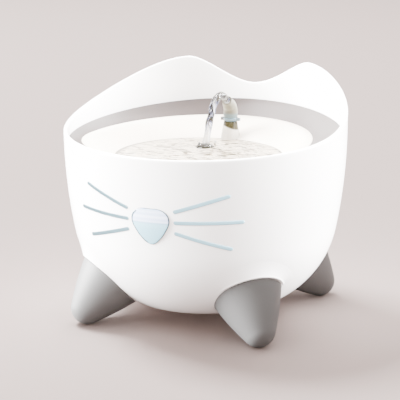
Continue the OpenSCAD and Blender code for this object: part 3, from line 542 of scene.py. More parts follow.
# Painted shade: the edge faces are painted dark for the shadow in the gap round the lens, and the dark band
# is wider at the lower left, as in the photograph.
for face in nose.data.polygons:
    x = face.center.x
    z = face.center.z - NOSE_Z
    share = LOW_SHADE_EDGE_SHARE if LOW_SHADE_EDGE_WAY.dot(Vector((x, z))) < LOW_SHADE_EDGE_FROM else SHADE_EDGE_SHARE
    if math.hypot(x, z) > share * nose_radius(math.atan2(z, x)):
        face.material_index = 1
smooth(nose, 60)
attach(nose, "root")
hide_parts("nose_window")

# ---- Whiskers ----
# Six slim bars of the same clear blue ABS, three each side of the nose, snapped into slots in the
# wall and standing half a millimetre out of it with rounded faces.
WHISKER_W = 3.1 * MM
WHISKER_IN_X = 20.8 * MM
WHISKER_IN_Z = [115.7 * MM, 106.6 * MM, 97.7 * MM]
WHISKER_OUT_X = [60.2 * MM, 68.9 * MM, 60.1 * MM]
WHISKER_OUT_Z = [128.7 * MM, 107.3 * MM, 85.0 * MM]
WHISKER_STEPS = 200


def bar_outline(length, half, share):
    """A point on a bar with round ends, at a share of the way round it."""
    if share >= 0.5:
        return -bar_outline(length, half, share - 0.5)
    cap = math.pi * half
    walk = share * 2 * (cap + length)
    if walk < cap:
        return Vector((length / 2 + half * sin(walk / half), -half * cos(walk / half)))
    return Vector((length / 2 - (walk - cap), half))


def whisker_ring(inner_end, outer_end, half, proud):
    """A ring of points round a whisker, at a height over the bowl's outer face."""
    middle = (inner_end + outer_end) / 2
    axis = (outer_end - inner_end).normalized()
    ring = []
    for i in range(WHISKER_STEPS):
        local = bar_outline((outer_end - inner_end).length, half, i / WHISKER_STEPS)
        flat = middle + local.x * axis + local.y * Vector((-axis.y, axis.x))
        radius = bowl_radius(flat.y) + proud
        ring.append(Vector((flat.x, -math.sqrt(radius ** 2 - flat.x ** 2), flat.y)))
    return ring


# Shares of the half width, each with its height over the wall in millimetres.
whisker_rows = [(1.0, -3.0), (1.0, 0.1), (0.96, 0.28), (0.84, 0.4), (0.64, 0.47), (0.32, 0.5), (0.016, 0.5)]
bars = []
for side in (-1, 1):
    for z_in, x_out, z_out in zip(WHISKER_IN_Z, WHISKER_OUT_X, WHISKER_OUT_Z):
        ends = [Vector((side * WHISKER_IN_X, z_in)), Vector((side * x_out, z_out))]
        rings = [whisker_ring(*ends, share * WHISKER_W / 2, proud * MM) for share, proud in whisker_rows]
        bars.append(rod("whisker", rings))
whiskers = bars[0]
join(bars, whiskers)
whiskers.name = "whiskers"

# The same ABS over a white wall: light blue, deeper where the rounded edges are seen at a slant.
whisker_clear, tree, shader = new_material("clear_blue_abs_bar", Roughness=0.12, IOR=1.53)
slanted = add(tree, "ShaderNodeLayerWeight", {"Blend": 0.35}).outputs["Facing"]
tree.links.new(blend(tree, slanted, "98CBDE", "568DA3"), shader.inputs["Base Color"])
whiskers.data.materials.append(whisker_clear)
smooth(whiskers, 60)
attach(whiskers, "root")
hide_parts("whisker_windows")
keep_off(side_flag, whiskers)

# ---- Tray ring ----
# The lift-out tray's outer ring, moulded in satin ABS; its dark warm grey is painted shade on the band. A
# wide sloping band rises to the back of the bowl, a skirt hangs below it onto the bowl's ledge, and a shelf
# inside takes the dish.
TRAY_R = BOWL_R - WALL - 0.4 * MM
TRAY_DRAFT = 0.7 * MM
RING_T = 2.6 * MM
RING_AROUND = 240
RING_FRONT = 150.5 * MM
RING_RISE = 16.5 * MM
RING_POWER = 2.1
SKIRT_Z = LEDGE_Z + 0.3 * MM
DISH_EDGE_Z = 154 * MM
DISH_DROP = 2.5 * MM
DISH_POWER = 3
DISH_X = TRAY_R - 20.3 * MM
DISH_Y = -28 * MM
DISH_BACK = TRAY_R - 18.6 * MM - DISH_Y
DISH_FRONT = TRAY_R - 12.6 * MM + DISH_Y
DISH_T = 2.4 * MM
POOL_R = 71 * MM
POOL_Y = -15 * MM
POOL_AT = Vector((0, POOL_Y, 0))
SHELF_T = 2 * MM
SHELF_W = 3.5 * MM
CORNER_STEPS = 4


def rounded(points, radii):
    """A closed outline with round corners: each is cut back by its radius and bridged by a curve."""
    outline = []
    for i, (point, radius) in enumerate(zip(points, radii)):
        before = points[i - 1] - point
        after = points[(i + 1) % len(points)] - point
        enter = point + before.normalized() * min(radius, before.length / 2)
        leave = point + after.normalized() * min(radius, after.length / 2)
        for step in range(CORNER_STEPS + 1):
            t = step / CORNER_STEPS
            outline.append(enter * (1 - t) ** 2 + point * 2 * t * (1 - t) + leave * t ** 2)
    return outline


def from_back(turn, radius, z=0.0):
    """A point on a circle round the bowl's axis, its angle counted from the back."""
    return Vector((radius * sin(turn), radius * cos(turn), z))


def dish_edge_z(turn):
    """The height of the dish's edge, which dips a little at the front."""
    return DISH_EDGE_Z - DISH_DROP * ((1 - cos(turn)) / 2) ** DISH_POWER


def dish_edge(turn, inwards, z):
    """A point on the dish's edge, or moved inwards from it towards the pool."""
    reach = DISH_BACK if cos(turn) > 0 else DISH_FRONT
    edge = Vector((DISH_X * sin(turn), DISH_Y + reach * cos(turn), 0))
    pool = from_back(turn, POOL_R) + POOL_AT
    place = edge + inwards * (pool - edge).normalized()
    return Vector((place.x, place.y, z))


def ring_section(turn):
    """The tray ring's section: outer wall, band, shelf and inner wall."""
    high = RING_FRONT + RING_RISE * ((1 + cos(turn)) / 2) ** RING_POWER
    edge = dish_edge_z(turn)
    low = min(high, edge) - DISH_T - SHELF_T
    middle = (dish_edge(turn, 0, low) + from_back(turn, TRAY_R, low)) / 2
    shelf = edge - DISH_T
    corners = [from_back(turn, TRAY_R - TRAY_DRAFT, SKIRT_Z), from_back(turn, TRAY_R, high),
               dish_edge(turn, 0, edge), dish_edge(turn, 0, shelf), dish_edge(turn, SHELF_W, shelf),
               dish_edge(turn, SHELF_W, shelf - SHELF_T), middle, from_back(turn, TRAY_R - RING_T, low),
               from_back(turn, TRAY_R - TRAY_DRAFT - RING_T, SKIRT_Z)]
    radii = [0.5, 1.3, 0.7, 0.2, 0.5, 0.5, 1.0, 1.0, 0.5]
    return rounded(corners, [r * MM for r in radii])


tray_ring = hoop("tray_ring_band", [ring_section(math.pi / 2 - turn) for turn in turns(RING_AROUND)])

# Satin ABS with an even, slightly blurred reflection, in a dark warm grey that is painted shade for the
# shadow on the band.
band_shade_abs = plain("satin_abs_painted_shade", "3A3230", "3E3634", 1000 / SPARK_GRAIN_MM, 0.1, 0.04, 2.0, Roughness=0.5,
                 IOR=1.52, Specular_IOR_Level=0.2)
tray_ring.data.materials.append(band_shade_abs)
smooth(tray_ring)
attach(tray_ring, "tray")
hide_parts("tray_ring")

# ---- Tray dish ----
# The drinking dish, one moulding of cream polypropylene: a flat lip on the ring's shelf, a slope
# down to a round pool, drain holes over the filter, and a socket below for the riser tube.
POOL_Z = 140 * MM
POOL_FLOOR_Z = 129 * MM
POOL_FLOOR_R = 52 * MM
DISH_LIP_W = 5 * MM
DISH_SLIP = 0.02 * MM
SLOPE_POINTS = [(0.0, 0.0), (0.35, 0.15), (0.75, 0.65), (1.0, 1.0), (1.5, 1.58), (1.82, 1.92), (2.0, 2.0)]
SLOPE_STEPS = 7
SLOPE_ROUNDS = 6
DRAIN_R = 1.8 * MM
DRAIN_PITCH = 6 * MM
DRAIN_Y = -48 * MM
DRAIN_REACH = 2.1
STEM_Y = (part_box("stem")[0].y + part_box("stem")[1].y) / 2
STEM_SEAT = 130 * MM
STEM_SEAT_R = 8.5 * MM
SOCKET_R = 10.7 * MM
SOCKET_BORE = 8.7 * MM
SOCKET_Z = 112 * MM
SOCKET_STOP = 126 * MM
SOCKET_TOP = POOL_Z - 0.4 * MM
CUT_PAST = 5 * MM
DISH_AROUND = 240


def slope_curve():
    """Points along the dish's slope: a smooth curve through SLOPE_POINTS, as (place, height)."""
    nodes = [Vector(p) for p in [SLOPE_POINTS[0]] + SLOPE_POINTS + [SLOPE_POINTS[-1]]]
    curve = []
    for a, b, c, d in zip(nodes, nodes[1:], nodes[2:], nodes[3:]):
        for step in range(SLOPE_STEPS):
            t = step / SLOPE_STEPS
            curve.append(0.5 * (2 * b + (c - a) * t + (2 * a - 5 * b + 4 * c - d) * t ** 2
                                + (3 * b - a - 3 * c + d) * t ** 3))
    return curve + [nodes[-1]]


def dish_place(turn, place, height):
    """A point of the dish's upper face. Place 0 is the floor's edge, 1 the waterline and 2 the lip."""
    if place < 1:
        radius = POOL_FLOOR_R + (POOL_R - POOL_FLOOR_R) * place
        z = POOL_FLOOR_Z + (POOL_Z - POOL_FLOOR_Z) * height
        return from_back(turn, radius, z) + POOL_AT
    z = POOL_Z + (dish_edge_z(turn) - POOL_Z) * (height - 1)
    pool = from_back(turn, POOL_R, z) + POOL_AT
    return pool.lerp(dish_edge(turn, DISH_LIP_W, z), place - 1)


def dish_column(turn):
    """The dish's face from the pool's floor to its outer edge at one angle, evened out along its length."""
    column = [dish_place(turn, place, height) for place, height in slope_curve()]
    for _ in range(SLOPE_ROUNDS):
        column[1:-1] = [(a + 2 * b + c) / 4 for a, b, c in zip(column, column[1:], column[2:])]
    edge = dish_edge_z(turn)
    return column + [dish_edge(turn, inwards, edge - sink) for inwards, sink in
                     [(DISH_LIP_W / 2, 0), (0.5 * MM, 0), (0.15 * MM, 0.1 * MM), (DISH_SLIP, 0.45 * MM)]]


columns = [dish_column(math.pi / 2 - turn) for turn in turns(DISH_AROUND)]
rows = [list(row) for row in zip(*columns)]
under = [[point - Vector((0, 0, DISH_T)) for point in row] for row in rows[:-2]]
dish = rod("tray_dish_pan", under + rows[::-1])


def cylinder(radius, low, high, x=0.0, y=0.0, sides=64):
    """An upright cylinder with its place in its mesh."""
    bpy.ops.mesh.primitive_cylinder_add(vertices=sides, radius=radius, depth=high - low,
                                        location=(x, y, (low + high) / 2))
    bpy.ops.object.transform_apply(location=True, rotation=True, scale=True)
    return bpy.context.object


def cut_or_join(piece, tool, operation):
    """Applies a Boolean of the piece with a tool, and deletes the tool."""
    select([piece], piece)
    modifier = piece.modifiers.new("shape", "BOOLEAN")
    modifier.operation = operation
    modifier.solver = "EXACT"
    modifier.object = tool
    bpy.ops.object.modifier_apply(modifier="shape")
    bpy.data.objects.remove(tool)


cut_or_join(dish, cylinder(SOCKET_R, SOCKET_Z, SOCKET_TOP, y=STEM_Y), "UNION")
drains = []
for column in range(-2, 3):
    for row in range(-2, 3):
        hole = Vector((DRAIN_PITCH * (column + row / 2), DRAIN_PITCH * row * sin(math.radians(60))))
        if hole.length < DRAIN_REACH * DRAIN_PITCH:
            drains.append(cylinder(DRAIN_R, POOL_FLOOR_Z - CUT_PAST, POOL_FLOOR_Z + CUT_PAST, hole.x,
                                   DRAIN_Y + hole.y, 24))
# The riser's bore from below and the stem's seat from above share the socket.
drains.append(cylinder(SOCKET_BORE, SOCKET_Z - CUT_PAST, SOCKET_STOP, y=STEM_Y))
drains.append(cylinder(STEM_SEAT_R, STEM_SEAT, STEM_SEAT + 30 * MM, y=STEM_Y))
join(drains, drains[0])
cut_or_join(dish, drains[0], "DIFFERENCE")

# Polypropylene: creamy white and slightly waxy, so light enters it a little before it scatters.
cream_pp = plain("cream_polypropylene", "DACFC0", "DED4C7", 25.0, Roughness=0.3, IOR=1.49,
                 Subsurface_Weight=0.08, Subsurface_Radius=(0.002, 0.0016, 0.0012))
dish.data.materials.append(cream_pp)
smooth(dish)
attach(dish, "tray")
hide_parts("tray_dish")

# ---- Pool ----
# The water in the dish, 11 mm deep. Rings spread from the place where the jet falls, and the pump
# keeps the whole face moving in small ripples. It has no CAD node, because it isn't a solid part.
JET_FOOT = Vector((-7.6 * MM, 17.5 * MM))
POOL_ROWS = 70
RING_WAVE = 8.5 * MM
RING_REACH = 24 * MM
RING_HEIGHT = 0.55 * MM
RING_BEND = 0.35
BEND_SIZE = 26 * MM
RIPPLE = 0.7 * MM
RIPPLE_SIZE = (13 * MM, 9 * MM)
FINE_RIPPLE = 0.35 * RIPPLE
FINE_SIZE = (5.5 * MM, 4.5 * MM)
SHORE_CALM = 6 * MM
WET_IN = 0.3 * MM
SHORE_OUT = 0.4 * MM
SHORE_SQUEEZE = 0.95


def water_height(x, y):
    """The height of the pool's face: ring waves that die out away from the jet, and loose ripples."""
    distance = math.hypot(x - JET_FOOT.x, y - JET_FOOT.y)
    bend = 1 + RING_BEND * noise.noise(Vector((x, y, 0)) / BEND_SIZE)
    rings = RING_HEIGHT * sin(math.tau * distance / RING_WAVE * bend) * math.exp(-distance / RING_REACH)
    loose = noise.noise(Vector((x / RIPPLE_SIZE[0], y / RIPPLE_SIZE[1], 3.0)))
    fine = noise.noise(Vector((x / FINE_SIZE[0], y / FINE_SIZE[1], 7.0)))
    edge = min(1.0, (POOL_R - math.hypot(x, y - POOL_Y)) / SHORE_CALM)
    return POOL_Z + (rings + RIPPLE * loose + FINE_RIPPLE * fine) * max(edge, 0.0)


def reach_from(tree, x, y, squeeze=1.0):
    """The distance from an upright axis, with y squeezed, as a socket."""
    flat = add(tree, "ShaderNodeMapping", {"Location": (-x, -y * squeeze, 0.0), "Scale": (1.0, squeeze, 0.0)},
               {"Vector": object_place(tree)})
    return add(tree, "ShaderNodeVectorMath", links={0: flat.outputs["Vector"]},
               operation="LENGTH").outputs["Value"]


def light_shadow(tree, shader, share):
    """Lets a share of the light through a piece of water, so that its shadow stays light."""
    light = add(tree, "ShaderNodeLightPath")
    clear = add(tree, "ShaderNodeMath", {1: -share, 2: 1.0}, {0: light.outputs["Is Shadow Ray"]},
                operation="MULTIPLY_ADD")
    tree.links.new(clear.outputs["Value"], shader.inputs["Alpha"])


wet_count = min(sum(p.z <= POOL_Z for p in column) for column in columns) - 1
wet_rings = [[p - Vector((0, 0, WET_IN)) for p in row] for row in rows[:wet_count]]
for row in range(POOL_ROWS + 1):
    radius = (POOL_R + SHORE_OUT) * (1 - row / (POOL_ROWS + 0.2))
    ring = []
    for turn in turns(DISH_AROUND):
        x = radius * cos(turn)
        y = POOL_Y + radius * sin(turn)
        ring.append(Vector((x, y, water_height(x, y))))
    wet_rings.append(ring)
pool = rod("pool_water", wet_rings)

# Clear water. Brownish streaks in its colour are a painted reflection of the room in its ripples, so its own
# mirroring is turned off, and the shore is painted dark as shade.
pool_clear, tree, shader = new_material("pool_water", Roughness=0.02, IOR=1.333, Specular_IOR_Level=0.0,
                                        Transmission_Weight=1.0)
painted_ripple_reflection = ramp(tree, speckle(tree, 95.0, 3.0, 1.6, (0.75, 1.9, 1.0)),
               [(0.38, "0E0C07"), (0.45, "474031"), (0.54, "E2DED6")])
painted_shore_shade = fade(tree, reach_from(tree, 0.0, POOL_Y, SHORE_SQUEEZE), POOL_R - 7 * MM, POOL_R - 2.5 * MM)
tree.links.new(blend(tree, painted_shore_shade, painted_ripple_reflection, "040403"), shader.inputs["Base Color"])
light_shadow(tree, shader, 0.85)
pool.data.materials.append(pool_clear)
smooth(pool, 60)
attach(pool, "tray")
keep_off(side_flag, pool)

# ---- Stem ----
# A clear polycarbonate tube that stands in the dish's socket and carries water up to the spout. It
# narrows to a shoulder, above which a pin enters the spout.
STEM_R = 8.48 * MM
STEM_CONE_Z = POOL_Z + 1 * MM
STEM_TOP_R = 6 * MM
STEM_TOP_Z = POOL_Z + 15.5 * MM
STEM_BORE = 3 * MM
PIN_R = 4.5 * MM
PIN_TOP = STEM_TOP_Z + 8 * MM
STEM_AROUND = 96
PAINTED_SHADOW_Z = 150 * MM
PAINTED_SHADOW_SLOPE = 0.33

# The half section's corners, as radius and height, each with the radius that rounds it.
corners = [(STEM_R, STEM_SEAT), (STEM_R, STEM_CONE_Z), (STEM_TOP_R, STEM_TOP_Z), (PIN_R, STEM_TOP_Z),
           (PIN_R, PIN_TOP), (STEM_BORE, PIN_TOP), (STEM_BORE, STEM_SEAT)]
radii = [r * MM for r in (0.4, 2.0, 0.8, 0.1, 0.4, 0.3, 0.3)]
sections = []
for turn in turns(STEM_AROUND):
    across = Vector((cos(turn), sin(turn), 0))
    sections.append(rounded([radius * across + Vector((0, STEM_Y, z)) for radius, z in corners], radii))
stem = hoop("stem_tube", sections)

# Polycarbonate with a moulded haze: pale below, where it stands against the dish. Its upper part is painted
# olive brown, a painted shadow that the spout casts on it, with an edge that slopes down to the right.
stem_pc, tree, shader = new_material("clear_polycarbonate", Roughness=0.15, IOR=1.45, Specular_IOR_Level=0.1,
                                     Transmission_Weight=0.3)
split = add(tree, "ShaderNodeSeparateXYZ", links={"Vector": object_place(tree)})
slope = add(tree, "ShaderNodeMath", {1: PAINTED_SHADOW_SLOPE}, {0: split.outputs["X"], 2: split.outputs["Z"]},
            operation="MULTIPLY_ADD")
in_painted_shadow = fade(tree, slope.outputs["Value"], PAINTED_SHADOW_Z, PAINTED_SHADOW_Z + 1 * MM)
pale = blend(tree, speckle(tree, 420.0, 1.0, stretch=(1.0, 1.0, 0.12)), "D8CFC0", "FBF8F2")
tree.links.new(blend(tree, in_painted_shadow, pale, "37331F"), shader.inputs["Base Color"])
stem.data.materials.append(stem_pc)
smooth(stem)
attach(stem, "tray")
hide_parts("stem")
keep_off(side_flag, stem)

# ---- Spout collar ----
# A clear, faintly blue ring under the spout, with two pierced lugs by which it is turned. It runs
# on the stem's pin. Its shape is the CAD one, smoothed.
LUG_HOLE_X = 7.5 * MM
LUG_HOLE_R = 2 * MM


def dress(name, node, body, material):
    """Copies a CAD node's mesh, merges its loose triangles, and gives it a smooth finish and a material."""
    piece = bpy.data.objects.new(name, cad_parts[node].data.copy())
    bpy.context.scene.collection.objects.link(piece)
    select([piece], piece)
    bpy.ops.object.mode_set(mode="EDIT")
    bpy.ops.mesh.select_all(action="SELECT")
    bpy.ops.mesh.remove_doubles(threshold=NEAR)
    bpy.ops.object.mode_set(mode="OBJECT")
    piece.data.materials.clear()
    piece.data.materials.append(material)
    smooth(piece)
    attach(piece, body)
    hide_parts(node)
    return piece


collar_clear, tree, shader = new_material("clear_blue_pc", Roughness=0.12, IOR=1.5, Transmission_Weight=0.3)
haze = blend(tree, speckle(tree, 260.0, 2.0), "4C636E", "6A828C")
# Painted shade: the hole in the left lug is painted dark, for the shade inside it seen through the clear
# plastic.
painted_hole_shade = fade(tree, reach_from(tree, -LUG_HOLE_X, STEM_Y), LUG_HOLE_R, LUG_HOLE_R - 0.4 * MM)
tree.links.new(blend(tree, painted_hole_shade, haze, "12100F"), shader.inputs["Base Color"])
keep_off(side_flag, dress("spout_collar_ring", "spout_collar", "spout", collar_clear))

# ---- Spout elbow ----
# A soft elbow of frosted silicone, pushed over the stem's pin. It bends forwards and throws the
# jet up and over into the pool.
ELBOW_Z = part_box("spout_bell")[0].z
MOUTH_TILT = math.radians(50)
MOUTH_MEET_Z = ELBOW_Z + 8.7 * MM
MOUTH_LEN = 12 * MM
ELBOW_BEND = 9 * MM
ELBOW_R = 6.3 * MM
ELBOW_MID_R = 5.8 * MM
MOUTH_R = 4.4 * MM
MOUTH_BORE = 3.1 * MM
ELBOW_AROUND = 64
BEND_STEPS = 16
MOUTH_STEPS = 8

bend_cut = ELBOW_BEND * math.tan(MOUTH_TILT / 2)
bend_centre = Vector((0, STEM_Y - ELBOW_BEND, MOUTH_MEET_Z - bend_cut))
mouth_way = Vector((0, -sin(MOUTH_TILT), cos(MOUTH_TILT)))
mouth_end = Vector((0, STEM_Y, MOUTH_MEET_Z)) + MOUTH_LEN * mouth_way


def elbow_ring(centre, way, radius):
    """A ring of points square to the elbow's path."""
    right = Vector((1, 0, 0))
    up = right.cross(way).normalized()
    return [centre + radius * (cos(a) * right - sin(a) * up) for a in turns(ELBOW_AROUND)]


elbow_path = [(Vector((0, STEM_Y, ELBOW_Z + rise * MM)), Vector((0, 0, 1)), ELBOW_R - cut * MM)
              for rise, cut in [(0, 0.5), (0.15, 0.15), (0.5, 0)]]
for step in range(BEND_STEPS + 1):
    turn = MOUTH_TILT * step / BEND_STEPS
    centre = bend_centre + ELBOW_BEND * Vector((0, cos(turn), sin(turn)))
    radius = ELBOW_R + (ELBOW_MID_R - ELBOW_R) * step / BEND_STEPS
    elbow_path.append((centre, Vector((0, -sin(turn), cos(turn))), radius))
bend_end = elbow_path[-1][0]
straight = (mouth_end - bend_end).length
for step in range(1, MOUTH_STEPS + 1):
    share = step / MOUTH_STEPS
    ease = share * share * (3 - 2 * share)
    centre = bend_end + straight * share * mouth_way
    elbow_path.append((centre, mouth_way, ELBOW_MID_R + (MOUTH_R - ELBOW_MID_R) * ease))
for ahead, radius in [(0.25, MOUTH_R - 0.2 * MM), (0.35, (MOUTH_R + MOUTH_BORE) / 2),
                      (0.2, MOUTH_BORE + 0.15 * MM), (-0.2, MOUTH_BORE), (-6, MOUTH_BORE - 0.2 * MM)]:
    elbow_path.append((mouth_end + ahead * MM * mouth_way, mouth_way, radius))
elbow = rod("spout_elbow", [elbow_ring(*stop) for stop in elbow_path])

# Frosted silicone: soft, with a broad highlight. Its olive is a painted reflection of the room's dark side;
# it is painted milky where it is seen at a slant, a painted sheen, darker at its mouth, a painted shade, and
# blue where its foot sits in the collar's cup.
silicone, tree, shader = new_material("frosted_silicone", Roughness=0.4, IOR=1.43, Transmission_Weight=0.25,
                                      Subsurface_Weight=0.35, Subsurface_Radius=(0.003, 0.0025, 0.002))
painted_olive_reflection = blend(tree, speckle(tree, 180.0, 3.0), "4C4638", "605A49")
slanted = add(tree, "ShaderNodeLayerWeight", {"Blend": 0.3}).outputs["Facing"]
painted_slant_sheen = blend(tree, slanted, painted_olive_reflection, "A9A899")
height = height_in(tree)
mouth_shade_fade = fade(tree, height, mouth_end.z - 3 * MM, mouth_end.z + 2 * MM)
painted_mouth_shade = blend(tree, mouth_shade_fade, painted_slant_sheen, "35311F")
in_cup = fade(tree, height, ELBOW_Z + 4.6 * MM, ELBOW_Z + 2.8 * MM)
tree.links.new(blend(tree, in_cup, painted_mouth_shade, "586A6E"), shader.inputs["Base Color"])
elbow.data.materials.append(silicone)
smooth(elbow, 50)
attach(elbow, "spout")
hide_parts("spout_bell")
keep_off(side_flag, elbow)

# ---- Jet and splash ----
# The water that leaves the spout: a smooth rope that arcs up and falls into the pool, thins and
# wavers on its way, and throws up a low crown with a few drops.
JET_REACH = 19 * MM
JET_TOP_Z = 181 * MM
JET_DROP = 75.0
JET_R = 3.3 * MM
JET_SUNK = 1 * MM
JET_ROWS = 90
JET_AROUND = 32
JET_TURNED = 0.3
JET_FLARED = 0.95
JET_FLARE = 8
WAVER = 0.3
WAVER_ROUND = 1.3
WAVER_LONG = 9
DROPS = 9
CROWN_AROUND = 72

jet_way = (JET_FOOT - Vector((0, STEM_Y))).normalized()
jet_start = STEM_Y - mouth_end.y - JET_SUNK
jet_stop = (JET_FOOT - Vector((0, STEM_Y))).length


def jet_ring(share):
    """A ring round the jet at a share of its way from the mouth to the pool."""
    reach = jet_start + (jet_stop - jet_start) * share
    flat = reach * Vector((0, -1)).lerp(jet_way, min(1.0, share / JET_TURNED))
    start_z = JET_TOP_Z - JET_DROP * (jet_start - JET_REACH) ** 2
    lift = (mouth_end.z - JET_SUNK - start_z) * max(0.0, 1 - share / JET_TURNED) ** 2
    centre = Vector((flat.x, STEM_Y + flat.y, JET_TOP_Z - JET_DROP * (reach - JET_REACH) ** 2 + lift))
    way = Vector((jet_way.x, jet_way.y, -2 * JET_DROP * (reach - JET_REACH))).normalized()
    side = Vector((-jet_way.y, jet_way.x, 0))
    up = side.cross(way).normalized()
    ring = []
    for turn in turns(JET_AROUND):
        place = Vector((cos(turn) * WAVER_ROUND, sin(turn) * WAVER_ROUND, WAVER_LONG * share))
        waver = 1 + WAVER * (0.3 + share) * noise.noise(place)
        # The rope swells just out of the mouth, then thins as it falls faster.
        radius = (0.85 + 0.2 * min(share / 0.2, 1) - 0.2 * share) * JET_R * waver
        if share > JET_FLARED:
            radius *= 1 + JET_FLARE * (share - JET_FLARED)
        ring.append(centre + radius * (cos(turn) * side - sin(turn) * up))
    return ring


jet = rod("water_jet", [jet_ring(i / JET_ROWS) for i in range(JET_ROWS + 1)])
random.seed(5)
splash = [jet]
for index in range(DROPS):
    turn = math.tau * (index + 0.4 * random.random()) / DROPS
    reach = (5.5 + 5 * random.random()) * MM
    place = (JET_FOOT.x + reach * cos(turn), JET_FOOT.y + reach * sin(turn),
             POOL_Z + (0.8 + 4.5 * random.random()) * MM)
    drop_r = (0.5 + 0.6 * random.random()) * MM
    bpy.ops.mesh.primitive_uv_sphere_add(segments=20, ring_count=12, radius=drop_r, location=place)
    splash.append(bpy.context.object)
# The crown's section, as radius, height and share of the spike at its place, in millimetres.
crown_section = [(8.5, -0.4, 0), (7.2, 0.15, 0), (6.4, 0.5, 1), (5.9, 0.45, 1), (5.3, 0.1, 0), (4.0, -0.3, 0),
                 (3.0, -0.8, 0), (6.0, -1.6, 0)]
jet_end = Vector((JET_FOOT.x, JET_FOOT.y, POOL_Z))
crown = []
for turn in turns(CROWN_AROUND):
    across = Vector((cos(turn), sin(turn), 0))
    spike = (1.1 + 0.9 * noise.noise(Vector((2.2 * cos(turn), 2.2 * sin(turn), 1)))) * MM
    crown.append([jet_end + r * MM * across + Vector((0, 0, h * MM + spike * share))
                  for r, h, share in crown_section])
splash.append(hoop("crown", crown))
join(splash, jet)
jet.data.materials.clear()

# Falling water: at the crest its colour is a painted reflection of the room's dark side in olive and lavender
# patches, with painted white glints, and lower down it is clear and almost white, with a crown painted dark
# as a reflection of the dark room.
jet_clear, tree, shader = new_material("jet_water", Roughness=0.03, IOR=1.333, Specular_IOR_Level=0.05,
                                       Transmission_Weight=0.7)
painted_reflection_patches = ramp(tree, speckle(tree, 210.0, 1.0, 1.2, (1.0, 0.8, 0.45)),
               [(0.44, "2C281A"), (0.52, "656C96"), (0.6, "FFFFFF")])
height = height_in(tree)
painted_crest_reflection = blend(tree, fade(tree, height, 173 * MM, 179 * MM, 0.85), painted_reflection_patches, "322E1E")
rope = blend(tree, fade(tree, height, 160 * MM, 147 * MM), painted_crest_reflection, "DEDEDC")
crown_reflection_fade = fade(tree, height, POOL_Z + 4 * MM, POOL_Z + 1 * MM)
tree.links.new(blend(tree, crown_reflection_fade, rope, "3A392F"), shader.inputs["Base Color"])
light_shadow(tree, shader, 0.7)
jet.data.materials.append(jet_clear)
smooth(jet, 60)
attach(jet, "spout")
keep_off(side_flag, jet)

# ---- Rubber parts ----
# The nose gasket, cable grommet, riser seal, chamber seal, shaft bushes, cable gland and the pump's
# suction cups, all moulded in EPDM or silicone rubber: dark, dull and slightly dusty.
rubber = plain("moulded_epdm", "2B2B2D", "353537", 900.0, 0.05, Roughness=0.65, IOR=1.5)
for name in ("nose_gasket", "cable_grommet", "riser_seal", "chamber_seal", "shaft_bushes", "cable_gland",
             "suction_cups"):
    dress(name + "_rubber", name, "root", rubber)

# ---- Riser ----
# A clear extruded PVC tube that brings water up from the pump's outlet. It is pushed into the dish's
# socket, where a rubber ring seals it.
riser_clear = plain("clear_extruded_pvc", "DDE6E6", "E6EEEE", 120.0, Roughness=0.08, IOR=1.52,
                    Transmission_Weight=0.8)
dress("riser_tube_clear", "riser_tube", "root", riser_clear)

# ---- Pump housings ----
# The small submersible pump: motor housing, impeller chamber and slotted intake cover in black ABS,
# with a grey dial that closes the slots to set the flow.
pump_abs = plain("spark_eroded_black_abs", "242527", "2E2F31", 1400.0, 0.08, Roughness=0.48, IOR=1.53)
for name in ("motor_housing", "impeller_chamber", "intake_cover"):
    dress(name + "_moulding", name, "root", pump_abs)
dial_abs = plain("satin_slate_abs", "6F767E", "777E86", 1200.0, 0.05, Roughness=0.45, IOR=1.53)
dress("flow_dial_knob", "flow_dial", "flow_dial", dial_abs)

# ---- Motor ----
# Inside the housing: a laminated steel core, a nylon bobbin with its copper winding, and black
# epoxy potting that seals them.
LAMINATION_MM = 0.5
WIRE_MM = 0.35


def striped(name, low, high, axis, pitch_mm, **values):
    """A stack or winding: even stripes across an axis at a real pitch, with a bump to match."""
    def stripes(tree):
        return add(tree, "ShaderNodeTexWave", {"Scale": 1000 / pitch_mm / 20},
                   {"Vector": object_place(tree)}, bands_direction=axis).outputs["Fac"]
    return two_tone(name, low, high, stripes, 0.5, 0.1, **values)


core_steel = striped("laminated_silicon_steel", "6F7276", "A5A8AC", "Y", LAMINATION_MM * 2, Metallic=1.0,
                     Roughness=0.38)
winding_copper = striped("enamelled_copper_wire", "6B3418", "C67B45", "X", WIRE_MM * 2, Metallic=0.8,
                         Roughness=0.32)
bobbin_nylon = plain("natural_nylon", "DFD8C4", "E6DFCC", 600.0, 0.03, Roughness=0.4, IOR=1.53)
potting_epoxy = plain("cast_epoxy", "141415", "1B1B1C", 90.0, Roughness=0.15, IOR=1.55)
dress("stator_core_stack", "stator_core", "root", core_steel)
dress("coil_winding_copper", "coil_winding", "root", winding_copper)
dress("coil_bobbin_spool", "coil_bobbin", "root", bobbin_nylon)
dress("motor_potting_resin", "motor_potting", "root", potting_epoxy)

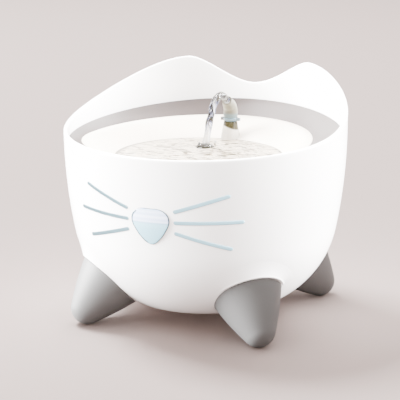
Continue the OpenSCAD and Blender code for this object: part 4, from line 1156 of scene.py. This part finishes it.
# ---- Rotor ----
# A sintered ferrite magnet and a six-bladed white acetal impeller, pressed together. They spin on a
# polished ceramic shaft, which is fixed in a rubber bush at each end.
magnet_ferrite = plain("sintered_ferrite", "3A3B3E", "4A4B4E", 1500.0, 0.06, Roughness=0.55, Metallic=0.2)
impeller_pom = plain("moulded_acetal", "EDEDEA", "F4F4F1", 700.0, 0.02, Roughness=0.35, IOR=1.48)
shaft_ceramic = plain("polished_alumina", "EFEEE8", "F6F5F0", 400.0, Roughness=0.12, IOR=1.76)
dress("rotor_magnet_ferrite", "rotor_magnet", "rotor", magnet_ferrite)
dress("impeller_wheel", "impeller", "rotor", impeller_pom)
dress("rotor_shaft_ceramic", "rotor_shaft", "root", shaft_ceramic)

# ---- Filter ----
# A well under the dish holds a round cartridge: a white slotted case and lid, a steel mesh, a
# charge of carbon granules and a disc of open foam.
CARBON_MM = 1.2
FOAM_MM = 0.9
MESH_MM = 0.8


def granules(name, low, high, cell_mm, depth_mm, **values):
    """Grains or pores: a cell pattern at a real size that sets both colour and relief."""
    def cells(tree):
        return add(tree, "ShaderNodeTexVoronoi", {"Scale": 1000 / cell_mm},
                   {"Vector": object_place(tree)}).outputs["Distance"]
    return two_tone(name, low, high, cells, 0.8, depth_mm, **values)


filter_case = plain("white_polypropylene", "F0EFEC", "F5F4F1", 500.0, 0.02, Roughness=0.35, IOR=1.49)
carbon = granules("coconut_carbon_granules", "2A2A2B", "0A0A0A", CARBON_MM, 0.6, Roughness=0.7)
foam = granules("open_cell_foam", "5E5F60", "B9BABB", FOAM_MM, 0.5, Roughness=0.9)
mesh_steel = striped("woven_stainless_wire", "6C6F72", "BFC2C5", "X", MESH_MM, Metallic=1.0, Roughness=0.3)
dress("filter_well_wall", "filter_well", "tray", filter_case)
dress("filter_frame_case", "filter_frame", "filter", filter_case)
dress("filter_lid_plate", "filter_lid", "filter", filter_case)
dress("filter_foam_disc", "filter_foam", "filter", foam)
dress("filter_carbon_charge", "filter_carbon", "filter", carbon)
dress("filter_mesh_screen", "filter_mesh", "filter", mesh_steel)
